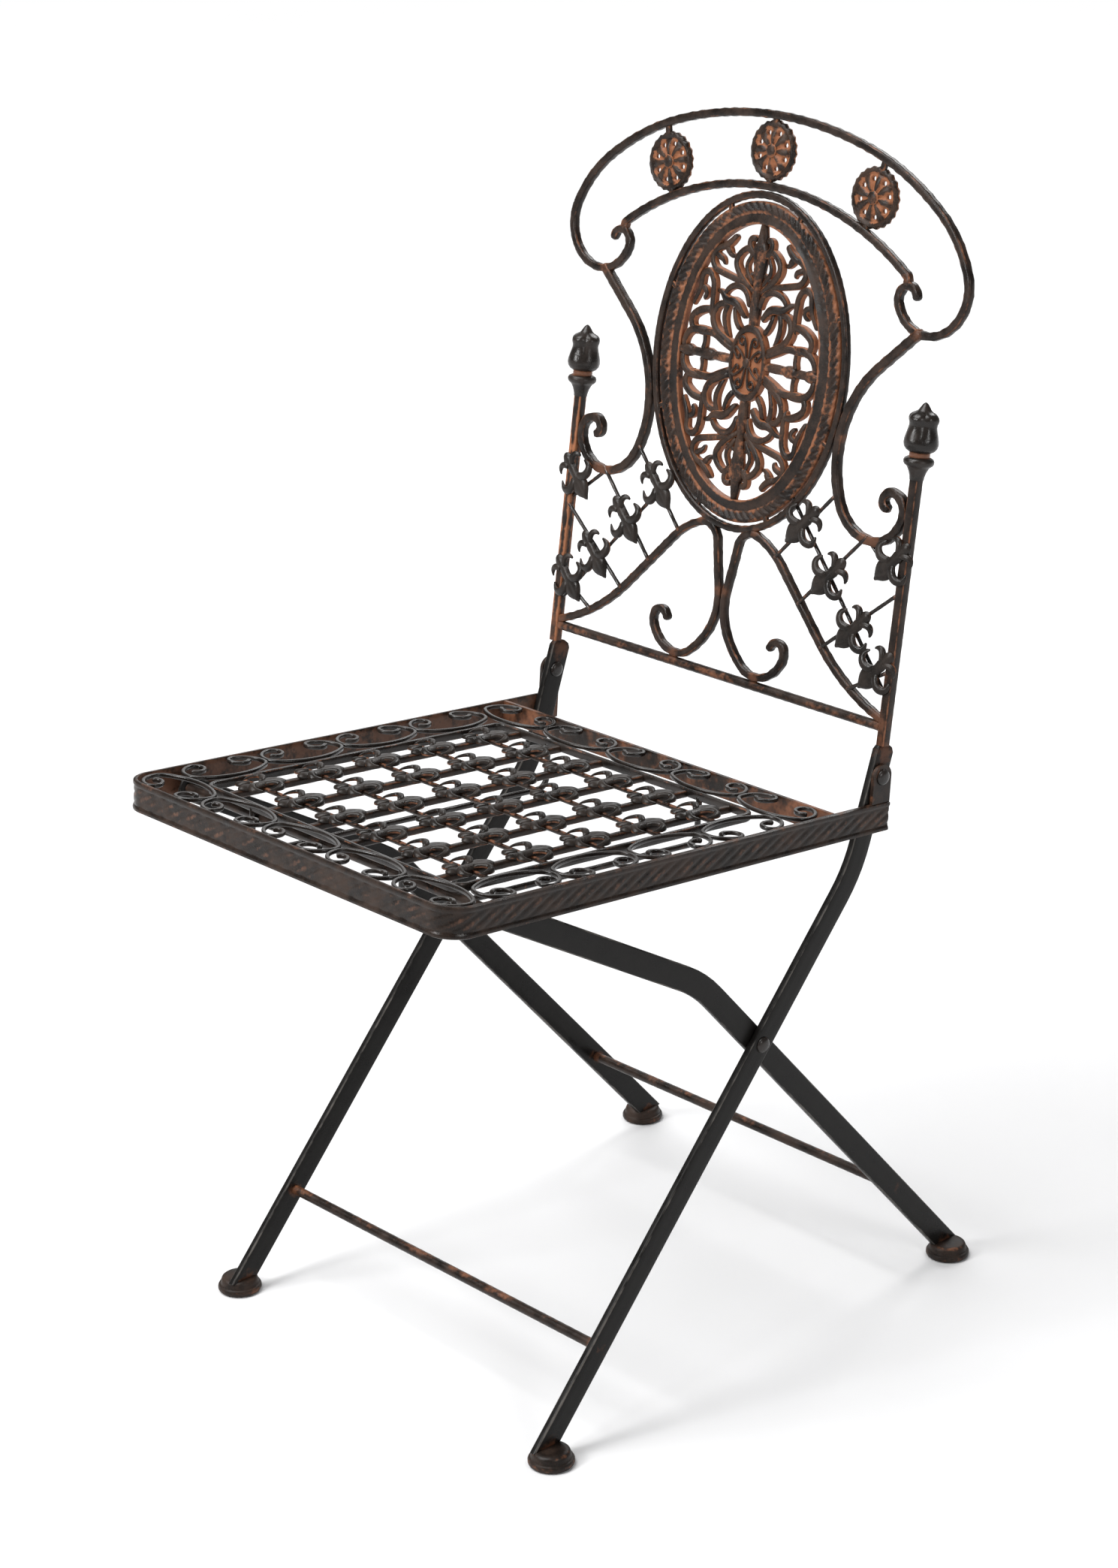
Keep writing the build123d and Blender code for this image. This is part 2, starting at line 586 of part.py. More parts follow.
def back_lattice(carriers):
    """Thin crossed rods between lyre, oval, S-scroll and post, with fleur castings on them."""
    level = post_size / 2 + 0.2 - lattice_bar / 2
    fleur_places = [(80, 140), (113, 105.5), (144.5, 70), (post_face - 9, 44), (post_face - 6, 130)]
    ties = [((54, 109), (108, 168)), ((84, 78), (146, 144)), ((112.5, 49), (post_face + 3, 107)),
            ((145.3, 23.6), (post_face + 3, 46))]
    chains = [((58, 164), (post_face + 3, 24)), ((142, 144), (post_face + 3, 111))]
    made_bars = []
    for lines, height in ((ties, level), (chains, level - lattice_bar)):
        for start, end in lines:
            length = hypot(end[0] - start[0], end[1] - start[1])
            angle = degrees(atan2(end[1] - start[1], end[0] - start[0]))
            rod = Location(((start[0] + end[0]) / 2, (start[1] + end[1]) / 2, height), (0, 0, angle)) * Box(
                length, lattice_bar, lattice_bar)
            for carrier in carriers:
                rod -= carrier
            made_bars.append(rod.solids().sort_by(SortBy.VOLUME)[-1])
    fleur = extrude(fleur_face(), fleur_thickness)
    right = Compound([Location((x, y, level + lattice_bar / 2), (0, 0, -back_fleur_tilt)) * fleur
                      for x, y in fleur_places])
    bars = Compound(made_bars)
    return {"right_back_lattice": bars, "left_back_lattice": mirrored(bars),
            "right_back_fleurs": right, "left_back_fleurs": mirrored(right)}


def back():
    """The whole back, drawn flat and then leaned into place."""
    made = posts()
    made.update(crest())
    made.update(oval())
    rail, arch, ring = made["crest_rail"], made["crest_inner_arch"], made["oval_outer_ring"]
    made.update(scrolls(ring, rail, made))
    middle_y = (crest_top + arch_top) / 2
    side_x = 0.517 * crest_half_width
    side_y = middle_y - 0.153 * crest_height
    for name, x, y, tilt in (("centre", 0, middle_y, 0), ("right", side_x, side_y, -side_medallion_tilt),
                             ("left", -side_x, side_y, side_medallion_tilt)):
        made[f"{name}_medallion"] = medallion(x, y, tilt, rail, arch)
    carriers = ("right_lyre_scroll", "right_s_scroll", "right_post", "oval_outer_ring")
    made.update(back_lattice([made[name] for name in carriers]))
    return {name: back_frame * shape for name, shape in made.items()}


def chair():
    """Every piece of the chair by name."""
    made = {}
    groups = (front_legs, rear_legs, slide_rod, feet, rivets,
              seat_rails, seat_grid, seat_border, guides, back)
    for group in groups:
        made.update(group())
    return made


os.makedirs("parts", exist_ok=True)
for node, shape in chair().items():
    export_step(shape, f"parts/{node}.step")
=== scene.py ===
"""Folding wrought-iron garden chair with a cast oval back, on a pale studio floor."""
import logging
from dataclasses import dataclass, field
from enum import Enum
from math import atan2, ceil, cos, degrees, hypot, pi, radians, sin, sqrt, tan
from typing import Callable, Iterable, Sequence

import bpy
import numpy as np
from mathutils import Matrix, Vector
from mathutils.geometry import delaunay_2d_cdt


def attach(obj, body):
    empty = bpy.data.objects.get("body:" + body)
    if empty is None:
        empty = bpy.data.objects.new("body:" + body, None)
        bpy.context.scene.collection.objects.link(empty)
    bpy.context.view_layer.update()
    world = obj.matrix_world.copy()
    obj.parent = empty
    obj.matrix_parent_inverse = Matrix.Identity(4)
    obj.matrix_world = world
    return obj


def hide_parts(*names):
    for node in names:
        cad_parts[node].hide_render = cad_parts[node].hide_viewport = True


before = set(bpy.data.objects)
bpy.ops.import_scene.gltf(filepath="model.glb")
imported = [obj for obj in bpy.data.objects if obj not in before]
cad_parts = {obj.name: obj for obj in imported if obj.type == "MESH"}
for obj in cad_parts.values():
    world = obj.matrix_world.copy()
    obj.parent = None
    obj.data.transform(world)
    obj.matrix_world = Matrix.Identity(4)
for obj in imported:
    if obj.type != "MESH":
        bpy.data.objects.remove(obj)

log = logging.getLogger("garden_chair")
Colour = tuple[float, float, float, float]
Flat = tuple[float, float]
Place = tuple[float, float, float]
Weld = tuple[float, float, float, float]
Face = tuple[int, ...]
Profile = Sequence[tuple[float, float, float]]
Socket = bpy.types.NodeSocket


def shift(x: float, y: float, z: float) -> Matrix:
    """A move by millimetres."""
    return Matrix.Translation((x, y, z))


def turn(angle: float, axis: str = "Z") -> Matrix:
    """A turn by degrees about an axis."""
    return Matrix.Rotation(radians(angle), 4, axis)


def weld_pair(x: float, y: float, radius: float) -> list[Weld]:
    """A weld and its mirror image."""
    return [(x, y, 0, radius), (-x, y, 0, radius)]


def spread(count: int, pitch: float) -> list[float]:
    """Evenly spaced places about zero."""
    return [(index - (count - 1) / 2) * pitch for index in range(count)]


MM = Matrix.Scale(0.001, 4)
HERE = Matrix.Identity(4)
FLIP = Matrix.Scale(-1, 4, (1, 0, 0))
UPSIDE_DOWN = Matrix.Scale(-1, 4, (0, 1, 0))
SIDE = Matrix(((0, 0, 1, 0), (1, 0, 0, 0), (0, 1, 0, 0), (0, 0, 0, 1)))
ALONG_X, ALONG_Y = Vector((1, 0, 0)), Vector((0, 1, 0))
PIVOT_Y, PIVOT_Z = 164.758, 455.0
SEAT_TILT, BACK_LEAN = 5.3, 9.2
SEAT = shift(0, PIVOT_Y, PIVOT_Z) @ turn(-SEAT_TILT, "X")
BACK = shift(0, PIVOT_Y + 6, PIVOT_Z + 36) @ turn(90 - BACK_LEAN, "X")


class Body(Enum):
    """The moving bodies that pieces are tied to."""

    FRAME = "front_frame"
    SEAT = "seat"
    REAR = "rear_legs"


class Slot(Enum):
    """The finishes that a scene may repaint."""

    IRON = "wrought_frame"
    CAST = "cast_ornament"
    RIVET = "rivets"


class Edge(Enum):
    """Where a finish finds its rubbed edges: marked on the points, or in the form of a bare node."""

    MARKED = "rub"
    FORM = "pointiness"


@dataclass
class Path:
    """A flat run of points with the direction at each and the length so far."""

    points: list[Vector]
    closed: bool = False
    ways: list[Vector] = field(init=False)
    lengths: list[float] = field(init=False)

    def __post_init__(self) -> None:
        """Works out the directions and lengths."""
        count = len(self.points)
        self.ways = []
        self.lengths = [0.0]
        for at in range(count):
            before = self.points[at - 1 if at or self.closed else 0]
            after = self.points[(at + 1) % count if self.closed else min(at + 1, count - 1)]
            self.ways.append((after - before).normalized())
            if at:
                self.lengths.append(self.lengths[-1] + (self.points[at] - self.points[at - 1]).length)

    @property
    def total(self) -> float:
        """The whole length."""
        return self.lengths[-1] + ((self.points[0] - self.points[-1]).length if self.closed else 0)

    @staticmethod
    def arcs(points: Sequence[Flat], heading: float, bend: float = 6.0, stride: float = 5.0) -> "Path":
        """Runs arcs through the points, each leaving as the one before arrived.

        Args:
            points: Places in millimetres.
            heading: First direction in degrees.
            bend: Most degrees between two points of the path.
            stride: Most millimetres between two points of the path.

        Returns:
            The smooth path.
        """
        places = [Vector((x, y, 0)) for x, y in points]
        run = [places[0]]
        angle = radians(heading)
        for start, end in zip(places, places[1:]):
            away = end - start
            half = (atan2(away.y, away.x) - angle + pi) % (2 * pi) - pi
            count = max(1, ceil(abs(degrees(2 * half)) / bend), ceil(away.length / stride))
            for step in range(1, count + 1):
                part = half * step / count
                reach = step / count if abs(half) < 1e-4 else sin(part) / sin(half)
                lead = angle + part
                run.append(start + Vector((cos(lead), sin(lead), 0)) * away.length * reach)
            angle += 2 * half
        return Path(run)

    @staticmethod
    def line(start: Flat, end: Flat, stride: float = 5.0) -> "Path":
        """A straight run in steps of at most a stride."""
        return Path.arcs([start, end], degrees(atan2(end[1] - start[1], end[0] - start[0])), stride=stride)

    @staticmethod
    def oval(half_width: float, half_height: float, count: int) -> "Path":
        """An oval of even steps, run anticlockwise."""
        steps = [2 * pi * index / count for index in range(count)]
        return Path([Vector((half_width * cos(a), half_height * sin(a), 0)) for a in steps], True)

    def mirrored(self) -> "Path":
        """The mirror image, run backwards, and then the path itself."""
        return Path([Vector((-p.x, p.y, 0)) for p in reversed(self.points[1:])] + self.points)


@dataclass
class Section:
    """The outline of a bar across its run: places aside and above, and the rub at each."""

    places: list[Flat]
    rubs: list[float]

    @staticmethod
    def eased(width: float, height: float, ease: float, faces: int = 1, worn: float = 1.0) -> "Section":
        """A bar with rounded edges.

        Args:
            width: Size aside.
            height: Size above.
            ease: Radius of the edges.
            faces: Strips on each flat.
            worn: How rubbed the edges are.

        Returns:
            The section, anticlockwise from the lower right edge.
        """
        places: list[Flat] = []
        rubs: list[float] = []
        right, top = width / 2 - ease, height / 2 - ease
        corners = [(right, -top, -90), (right, top, 0), (-right, top, 90), (-right, -top, 180)]
        for index, (u, v, first) in enumerate(corners):
            for step in range(4):
                angle = radians(first + 30 * step)
                places.append((u + ease * cos(angle), v + ease * sin(angle)))
                rubs.append(worn if step in (1, 2) else 0.45 * worn)
            next_u, next_v, next_first = corners[(index + 1) % 4]
            (u0, v0), angle = places[-1], radians(next_first)
            u1, v1 = next_u + ease * cos(angle), next_v + ease * sin(angle)
            for step in range(1, faces):
                share = step / faces
                places.append((u0 + (u1 - u0) * share, v0 + (v1 - v0) * share))
                rubs.append(0.0)
        return Section(places, rubs)

    @staticmethod
    def round(diameter: float, count: int = 12) -> "Section":
        """A round bar, a little rubbed on top."""
        steps = [2 * pi * index / count for index in range(count)]
        places = [(diameter / 2 * cos(a), diameter / 2 * sin(a)) for a in steps]
        return Section(places, [0.5 + 0.5 * sin(a) for a in steps])

    @staticmethod
    def crowned(width: float, height: float, wall: float = 0.35) -> "Section":
        """A cast strip: flat under, walls and a rounded crown.

        Args:
            width: Size aside.
            height: Size above the flat underside.
            wall: Share of the height that is wall.

        Returns:
            The section, with its walls marked as rubbed.
        """
        low, half = wall * height, width / 2
        places = [(-half, 0), (-0.4 * width, 0), (0.4 * width, 0), (half, 0), (half, low)]
        rubs = [1.1, 0.1, 0.1, 1.1, 1.15]
        for step in range(1, 8):
            angle = pi * step / 8
            places.append((half * cos(angle), low + (height - low) * sin(angle)))
            rubs.append(0.6 if step in (1, 7) else 0.05)
        return Section([*places, (-half, low)], [*rubs, 1.15])


class Outline:
    """A closed outline with its openings, and what lies inside it."""

    def __init__(self, loops: Sequence[Sequence[Flat]]) -> None:
        """Takes the loops.

        Args:
            loops: Places round each loop, the outer one first.
        """
        self.ends = np.array([point for loop in loops for point in loop])
        self.edges: list[tuple[int, int]] = []
        for loop in loops:
            base = len(self.edges)
            self.edges += [(base + at, base + (at + 1) % len(loop)) for at in range(len(loop))]
        self.starts = self.ends[[start for start, _ in self.edges]]
        self.stops = self.ends[[stop for _, stop in self.edges]]

    def gaps(self, places: np.ndarray) -> np.ndarray:
        """Measures how far places are from the nearest edge.

        Args:
            places: Flat places, one in each row.

        Returns:
            The distances.
        """
        away = self.stops - self.starts
        share = ((places[:, None] - self.starts) * away).sum(2) / (away ** 2).sum(1)
        near = self.starts + np.clip(share, 0, 1)[..., None] * away
        return np.sqrt(((places[:, None] - near) ** 2).sum(2)).min(1)

    def inside(self, places: np.ndarray) -> np.ndarray:
        """Tells which places lie inside, by the edges to their right.

        Args:
            places: Flat places, one in each row.

        Returns:
            True for each place inside.
        """
        crosses = np.zeros(len(places), int)
        for (ax, ay), (bx, by) in zip(self.starts, self.stops):
            straddles = (ay > places[:, 1]) != (by > places[:, 1])
            at = ax + (places[:, 1] - ay) * (bx - ax) / (by - ay if by != ay else 1e-9)
            crosses += straddles & (places[:, 0] < at)
        return crosses % 2 == 1

    def fill(self, grid: float) -> tuple[np.ndarray, list[tuple[int, int, int]]]:
        """Fills the outline with triangles.

        Args:
            grid: Spacing of the points.

        Returns:
            The points, and the triangles between them, all anticlockwise.
        """
        low, high = self.ends.min(0), self.ends.max(0)
        xs, ys = np.meshgrid(np.arange(low[0], high[0], grid), np.arange(low[1], high[1], grid * 0.87))
        xs[1::2] += grid / 2
        spots = np.stack([xs.ravel(), ys.ravel()], 1)
        spots = spots[self.inside(spots)]
        spots = spots[self.gaps(spots) > grid * 0.45]
        flat = [Vector(place) for place in (*self.ends, *spots)]
        out, _, triangles, *_ = delaunay_2d_cdt(flat, self.edges, [], 0, 1e-4)
        places = np.array([tuple(place) for place in out])
        kept = []
        for (a, b, c), good in zip(triangles, self.inside(places[np.array(triangles)].mean(1))):
            if good:
                (ax, ay), (bx, by), (cx, cy) = places[[a, b, c]]
                left = (bx - ax) * (cy - ay) > (by - ay) * (cx - ax)
                kept.append((a, b, c) if left else (a, c, b))
        return places, kept


class Shape:
    """A mesh in the making: points in millimetres, faces between them and how rubbed each point is."""

    END_RINGS = (0.35, 0.8)
    AT_EDGE = 0.05

    def __init__(self) -> None:
        """Starts with nothing."""
        self.points: list[Vector] = []
        self.faces: list[Face] = []
        self.rubs: list[float] = []

    def add(self, points: Iterable[Vector], faces: Iterable[Face], rubs: Iterable[float]) -> "Shape":
        """Adds points and the faces between them.

        Args:
            points: The new points.
            faces: Numbers of the new points round each face.
            rubs: How rubbed each new point is.

        Returns:
            This shape.
        """
        base = len(self.points)
        self.points.extend(points)
        self.faces.extend(tuple(base + at for at in face) for face in faces)
        self.rubs.extend(rubs)
        return self

    def join(self, other: "Shape", *places: Matrix) -> "Shape":
        """Adds another shape, at each of some places, which may also mirror it.

        Args:
            other: The shape to add.
            *places: Where it goes.

        Returns:
            This shape.
        """
        for place in places or (HERE,):
            faces = [face[::-1] for face in other.faces] if place.determinant() < 0 else other.faces
            self.add([place @ point for point in other.points], faces, other.rubs)
        return self

    def moved(self, *places: Matrix) -> "Shape":
        """A copy of the shape, at each of some places."""
        return Shape().join(self, *places)

    @staticmethod
    def tube(rings: int, count: int, closed: bool) -> list[Face]:
        """Faces between rings of points.

        Args:
            rings: How many rings there are.
            count: Points in each ring.
            closed: Whether the last ring meets the first.

        Returns:
            The faces, with a cap on each end of an open tube.
        """
        faces: list[Face] = []
        for row in range(rings if closed else rings - 1):
            low, high = row * count, (row + 1) % rings * count
            for col in range(count):
                step = (col + 1) % count
                faces.append((low + col, high + col, high + step, low + step))
        if not closed:
            faces += [tuple(range(count)), tuple(reversed(range((rings - 1) * count, rings * count)))]
        return faces

    def sweep(self, path: Path, section: Section, width: Callable[[float], float] | None = None,
              ripple: float = 0.0, pitch: float = 9.0,
              push: Callable[[float, float, float], float] | None = None, tip: float = 0.5,
              mitres: tuple[Vector | None, Vector | None] = (None, None)) -> "Shape":
        """Runs a section along a path, with rounded ends.

        Args:
            path: The run, in the XY plane.
            section: The outline across it.
            width: Share of the section's size by share of the length.
            ripple: Height of the hammer marks along it.
            pitch: Spacing of the hammer marks.
            push: How far a point stands out, by length along, aside and above.
            tip: Length of a rounded end, as a share of the section's width.
            mitres: Normals of flat cut ends, first and last, in place of rounded ones.

        Returns:
            This shape.
        """
        size = max(abs(u) for u, _ in section.places)
        count, total = len(section.places), path.total
        outs = []
        for index in range(count):
            before = Vector(section.places[index - 1])
            after = Vector(section.places[(index + 1) % count])
            outs.append(Vector((after.y - before.y, before.x - after.x)).normalized())
        shares = [width(length / total) if width else 1.0 for length in path.lengths]
        cuts = [mitres[0], *[None] * (len(path.points) - 2), mitres[1]]
        stations = list(zip(path.points, path.ways, path.lengths, shares, cuts))
        for end, length in ((0, 0.0), (-1, total)):
            if path.closed or mitres[end]:
                continue
            reach = path.ways[end] * size * tip * shares[end] * (1 if end else -1)
            caps = [(path.points[end] + reach * sqrt(1 - share ** 2), path.ways[end], length,
                     share * shares[end], None) for share in self.END_RINGS]
            stations = stations + caps[::-1] if end else caps + stations
        points = []
        for at, way, length, scale, cut in stations:
            aside = Vector((-way.y, way.x, 0))
            beat = ripple * sin(2 * pi * length / pitch + 0.9 * sin(length / (2.3 * pitch)))
            for (u, v), out in zip(section.places, outs):
                stand = beat if abs(out.x) > abs(out.y) else -0.7 * beat
                stand += push(length, u, v) if push else 0.0
                off = Vector((0, 0, v * scale + out.y * stand)) - aside * (u * scale + out.x * stand)
                points.append(at + off - (way * off.dot(cut) / way.dot(cut) if cut else Vector()))
        return self.add(points, self.tube(len(stations), count, path.closed), section.rubs * len(stations))

    def band(self, inner: Path, outer: Path, profile: Profile,
             push: Callable[[float, float], float] | None = None) -> "Shape":
        """Fills between two closed paths of as many points.

        Args:
            inner: The inner path.
            outer: The outer path.
            profile: Share of the way out, height and rub, anticlockwise with the outside to the right.
            push: More height by length along the outer path and share of the way out.

        Returns:
            This shape.
        """
        points: list[Vector] = []
        for near, far, length in zip(inner.points, outer.points, outer.lengths):
            for share, height, _ in profile:
                more = push(length, share) if push and height > 0 else 0.0
                points.append(near.lerp(far, share) + Vector((0, 0, height + more)))
        rings = len(inner.points)
        return self.add(points, self.tube(rings, len(profile), True), [rub for _, _, rub in profile] * rings)

    def turned(self, profile: Profile, count: int = 24,
               lobes: Callable[[float, float], float] | None = None) -> "Shape":
        """Turns a profile about Z.

        Args:
            profile: Radius, height and rub, from the bottom up.
            count: Facets round the axis.
            lobes: Share of the radius by angle and height.

        Returns:
            This shape.
        """
        points, rubs = [], []
        for radius, height, rub in profile:
            for index in range(count):
                angle = 2 * pi * index / count
                reach = radius * (lobes(angle, height) if lobes else 1.0)
                points.append(Vector((reach * cos(angle), reach * sin(angle), height)))
                rubs.append(rub)
        inward = self.tube(len(profile), count, False)
        return self.add(points, [(f[0], *f[:0:-1]) if len(f) == 4 else f[::-1] for f in inward], rubs)

    def relief(self, outline: Sequence[Flat], wall: float, dome: float, reach: float, grid: float = 1.2,
               holes: Sequence[Sequence[Flat]] = (), rise: Callable[[float, float], float] | None = None,
               wear: Callable[[float, float], float] | None = None) -> "Shape":
        """A cast plate: flat under, walls round the outline and a rounded top.

        Args:
            outline: Places round the plate, anticlockwise.
            wall: Height of the walls.
            dome: Rise of the top above the walls.
            reach: Distance from the outline at which the top is full height.
            grid: Spacing of points on the top.
            holes: Outlines of openings.
            rise: More height by place.
            wear: How rubbed the top is, by place.

        Returns:
            This shape.
        """
        plate = Outline([outline, *holes])
        places, triangles = plate.fill(grid)
        depth = np.minimum(plate.gaps(places) / reach, 1)
        heights = wall + dome * np.sqrt(np.maximum(1 - (1 - depth) ** 2, 0))
        if rise:
            heights += np.array([rise(x, y) for x, y in places])
        count = len(places)
        points = [Vector((x, y, z)) for (x, y), z in zip(places, heights)]
        points += [Vector((x, y, 0)) for x, y in places]
        faces: list[Face] = []
        for a, b, c in triangles:
            faces += [(a, b, c), (count + c, count + b, count + a)]
        sides = dict.fromkeys(pair for a, b, c in triangles for pair in ((a, b), (b, c), (c, a)))
        faces += [(b, a, count + a, count + b) for a, b in sides if (b, a) not in sides]
        rim = depth < self.AT_EDGE
        tops = [wear(x, y) for x, y in places] if wear else np.where(rim, 0.95, 0.15 + 0.2 * depth)
        return self.add(points, faces, [*tops, *np.where(rim, 0.8, 0.1)])

    def part(self, name: str, place: Matrix, welds: Sequence[Weld] = (),
             smooth: float = 35.0) -> bpy.types.Object:
        """Makes the object, with its rub and weld marks.

        Args:
            name: Name of the piece.
            place: From the shape's own millimetres to the chair's.
            welds: Weld places in the shape's own millimetres and their radius.
            smooth: Edges sharper than this many degrees stay sharp.

        Returns:
            The object, in metres.
        """
        mesh = bpy.data.meshes.new(name)
        placed = self.moved(place)
        mesh.from_pydata([MM @ point for point in placed.points], [], placed.faces)
        marks = np.zeros(len(self.points))
        where = np.array([tuple(point) for point in self.points])
        for x, y, z, radius in welds:
            gap = np.sqrt(((where - (x, y, z)) ** 2).sum(1))
            marks = np.maximum(marks, np.clip(1.15 - gap / radius, 0, 1))
        for mark, values in (("rub", self.rubs), ("weld", marks.astype(np.float32))):
            mesh.attributes.new(mark, "FLOAT", "POINT").data.foreach_set("value", values)
        mesh.set_sharp_from_angle(angle=radians(smooth))
        piece = bpy.data.objects.new(name, mesh)
        bpy.context.scene.collection.objects.link(piece)
        return piece


class Nodes:
    """A small hand for wiring shader nodes."""

    def __init__(self, tree: bpy.types.NodeTree) -> None:
        """Takes the tree to wire."""
        self.tree = tree

    def feed(self, socket: Socket, value: object) -> None:
        """Links an input to an output socket, or gives it a plain value.

        Args:
            socket: The input.
            value: The output socket or the value.
        """
        if isinstance(value, Socket):
            self.tree.links.new(value, socket)
        else:
            socket.default_value = value

    def add(self, kind: str, values: dict[str | int, object] | None = None,
            **traits: object) -> bpy.types.Node:
        """Adds a node.

        Args:
            kind: Type of node.
            values: Input values, or output sockets to link from, by input name or number.
            **traits: Settings of the node.

        Returns:
            The node.
        """
        node = self.tree.nodes.new(kind)
        for trait, value in traits.items():
            setattr(node, trait, value)
        for key, value in (values or {}).items():
            self.feed(node.inputs[key], value)
        return node

    def math(self, operation: str, first: object, second: object) -> Socket:
        """Adds a sum of two values and gives its result."""
        return self.add("ShaderNodeMath", {0: first, 1: second}, operation=operation).outputs[0]

    def total(self, *terms: tuple[object, float]) -> Socket:
        """Adds up values, each times its weight.

        Args:
            *terms: Pairs of a value and its weight.

        Returns:
            The sum.
        """
        parts = [self.math("MULTIPLY", value, weight) for value, weight in terms]
        made = parts[0]
        for part in parts[1:]:
            made = self.math("ADD", made, part)
        return made

    def span(self, value: object, low: float, high: float, to_low: float = 0.0,
             to_high: float = 1.0) -> Socket:
        """Maps a value smoothly from one range to another.

        Args:
            value: What is mapped.
            low: Start of its range.
            high: End of its range.
            to_low: Result at the start.
            to_high: Result at the end.

        Returns:
            The mapped value.
        """
        values = {"Value": value, "From Min": low, "From Max": high, "To Min": to_low, "To Max": to_high}
        return self.add("ShaderNodeMapRange", values, interpolation_type="SMOOTHSTEP").outputs["Result"]

    def mix(self, share: object, first: object, second: object) -> Socket:
        """Mixes two colours."""
        return self.add("ShaderNodeMix", {"Factor": share, 6: first, 7: second}, data_type="RGBA").outputs[2]

    def noise(self, place: object, scale: object, detail: float, rough: float) -> Socket:
        """Adds cloud-like noise and gives its value."""
        values = {"Vector": place, "Scale": scale, "Detail": detail, "Roughness": rough}
        return self.add("ShaderNodeTexNoise", values).outputs["Fac"]


class Group(Nodes):
    """A shader node group in the making."""

    def __init__(self, name: str, inputs: dict[str, str], outputs: dict[str, str]) -> None:
        """Starts the group.

        Args:
            name: Name of the group.
            inputs: Socket type by name.
            outputs: Socket type by name.
        """
        super().__init__(bpy.data.node_groups.new(name, "ShaderNodeTree"))
        for side, sockets in (("INPUT", inputs), ("OUTPUT", outputs)):
            for socket, kind in sockets.items():
                self.tree.interface.new_socket(name=socket, in_out=side, socket_type=f"NodeSocket{kind}")
        self.given = {socket.name: socket for socket in self.tree.nodes.new("NodeGroupInput").outputs}
        self.out = self.tree.nodes.new("NodeGroupOutput")

    def finished(self, **results: Socket) -> bpy.types.NodeTree:
        """Feeds the outputs.

        Args:
            **results: What each output gives, by its name.

        Returns:
            The group's tree.
        """
        for name, result in results.items():
            self.feed(self.out.inputs[name], result)
        return self.tree


class Effects:
    """The effects that several finishes share, each a node group built once."""

    def __init__(self) -> None:
        """Builds the groups."""
        self.coat = self.mottled_coat()
        self.rub = self.wear_and_highlight_rub()
        self.rust = self.weld_rust()
        self.dents = self.hammer_dents()

    @staticmethod
    def mottled_coat() -> bpy.types.NodeTree:
        """Dark paint that is thinner in patches, with a fine grain.

        Returns:
            The group's tree.
        """
        inputs = {"Place": "Vector", "Dark": "Color", "Pale": "Color", "Patch Scale": "Float",
                  "Grain Scale": "Float"}
        group = Group("mottled_coat", inputs, {"Color": "Color", "Roughness": "Float", "Height": "Float"})
        given = group.given
        patch = group.noise(given["Place"], given["Patch Scale"], 5.0, 0.6)
        grain = group.noise(given["Place"], given["Grain Scale"], 2.0, 0.5)
        thin = group.span(group.total((patch, 0.75), (grain, 0.25)), 0.36, 0.66)
        return group.finished(Color=group.mix(thin, given["Dark"], given["Pale"]),
                              Roughness=group.span(patch, 0.25, 0.75, -0.09, 0.11),
                              Height=group.total((grain, 0.45), (patch, 0.55)))

    @staticmethod
    def wear_and_highlight_rub() -> bpy.types.NodeTree:
        """Paint rubbed back to a copper brown at edges and in hollows; on the legs the rub colour is a pale
        grey, a painted highlight along their edges.

        Returns:
            The group's tree.
        """
        inputs = {"Place": "Vector", "Color": "Color", "Rub And Highlight": "Color", "Edge": "Float", "Amount": "Float",
                  "Scale": "Float"}
        group = Group("wear_and_highlight_rub", inputs, {"Color": "Color", "Mask": "Float"})
        given = group.given
        cloud = group.noise(given["Place"], given["Scale"], 4.0, 0.65)
        streak = group.noise(given["Place"], group.math("MULTIPLY", given["Scale"], 5.0), 2.0, 0.5)
        level = group.total((given["Edge"], 0.42), (cloud, 0.75), (streak, 0.25))
        floor = group.math("SUBTRACT", 1.22, group.math("MULTIPLY", given["Amount"], 0.62))
        mask = group.span(group.math("SUBTRACT", level, floor), -0.06, 0.14)
        return group.finished(Mask=mask, Color=group.mix(mask, given["Color"], given["Rub And Highlight"]))

    @staticmethod
    def weld_rust() -> bpy.types.NodeTree:
        """Bright rust at welds, and flecks of it elsewhere.

        Returns:
            The group's tree.
        """
        inputs = {"Place": "Vector", "Color": "Color", "Rust": "Color", "Weld": "Float", "Flecks": "Float",
                  "Scale": "Float"}
        group = Group("weld_rust", inputs, {"Color": "Color", "Mask": "Float"})
        given = group.given
        cloud = group.noise(given["Place"], given["Scale"], 4.0, 0.7)
        stain = group.span(group.math("ADD", given["Weld"], cloud), 0.95, 1.35)
        joint = group.math("MULTIPLY", stain, group.span(given["Weld"], 0.0, 0.2))
        broad = group.noise(given["Place"], group.math("MULTIPLY", given["Scale"], 0.45), 5.0, 0.7)
        more = group.math("MULTIPLY", given["Flecks"], 0.3)
        fleck = group.span(group.math("ADD", broad, more), 0.78, 0.9)
        either = group.math("MAXIMUM", group.math("MULTIPLY", joint, 0.45), fleck)
        mask = group.math("MULTIPLY", either, 0.72)
        return group.finished(Mask=mask, Color=group.mix(mask, given["Color"], given["Rust"]))

    @staticmethod
    def hammer_dents() -> bpy.types.NodeTree:
        """Shallow round dents of a hammered bar.

        Returns:
            The group's tree.
        """
        group = Group("hammer_dents", {"Place": "Vector", "Scale": "Float"}, {"Height": "Float"})
        values = {"Vector": group.given["Place"], "Scale": group.given["Scale"], "Smoothness": 0.6}
        cells = group.add("ShaderNodeTexVoronoi", values, feature="SMOOTH_F1")
        return group.finished(Height=cells.outputs["Distance"])


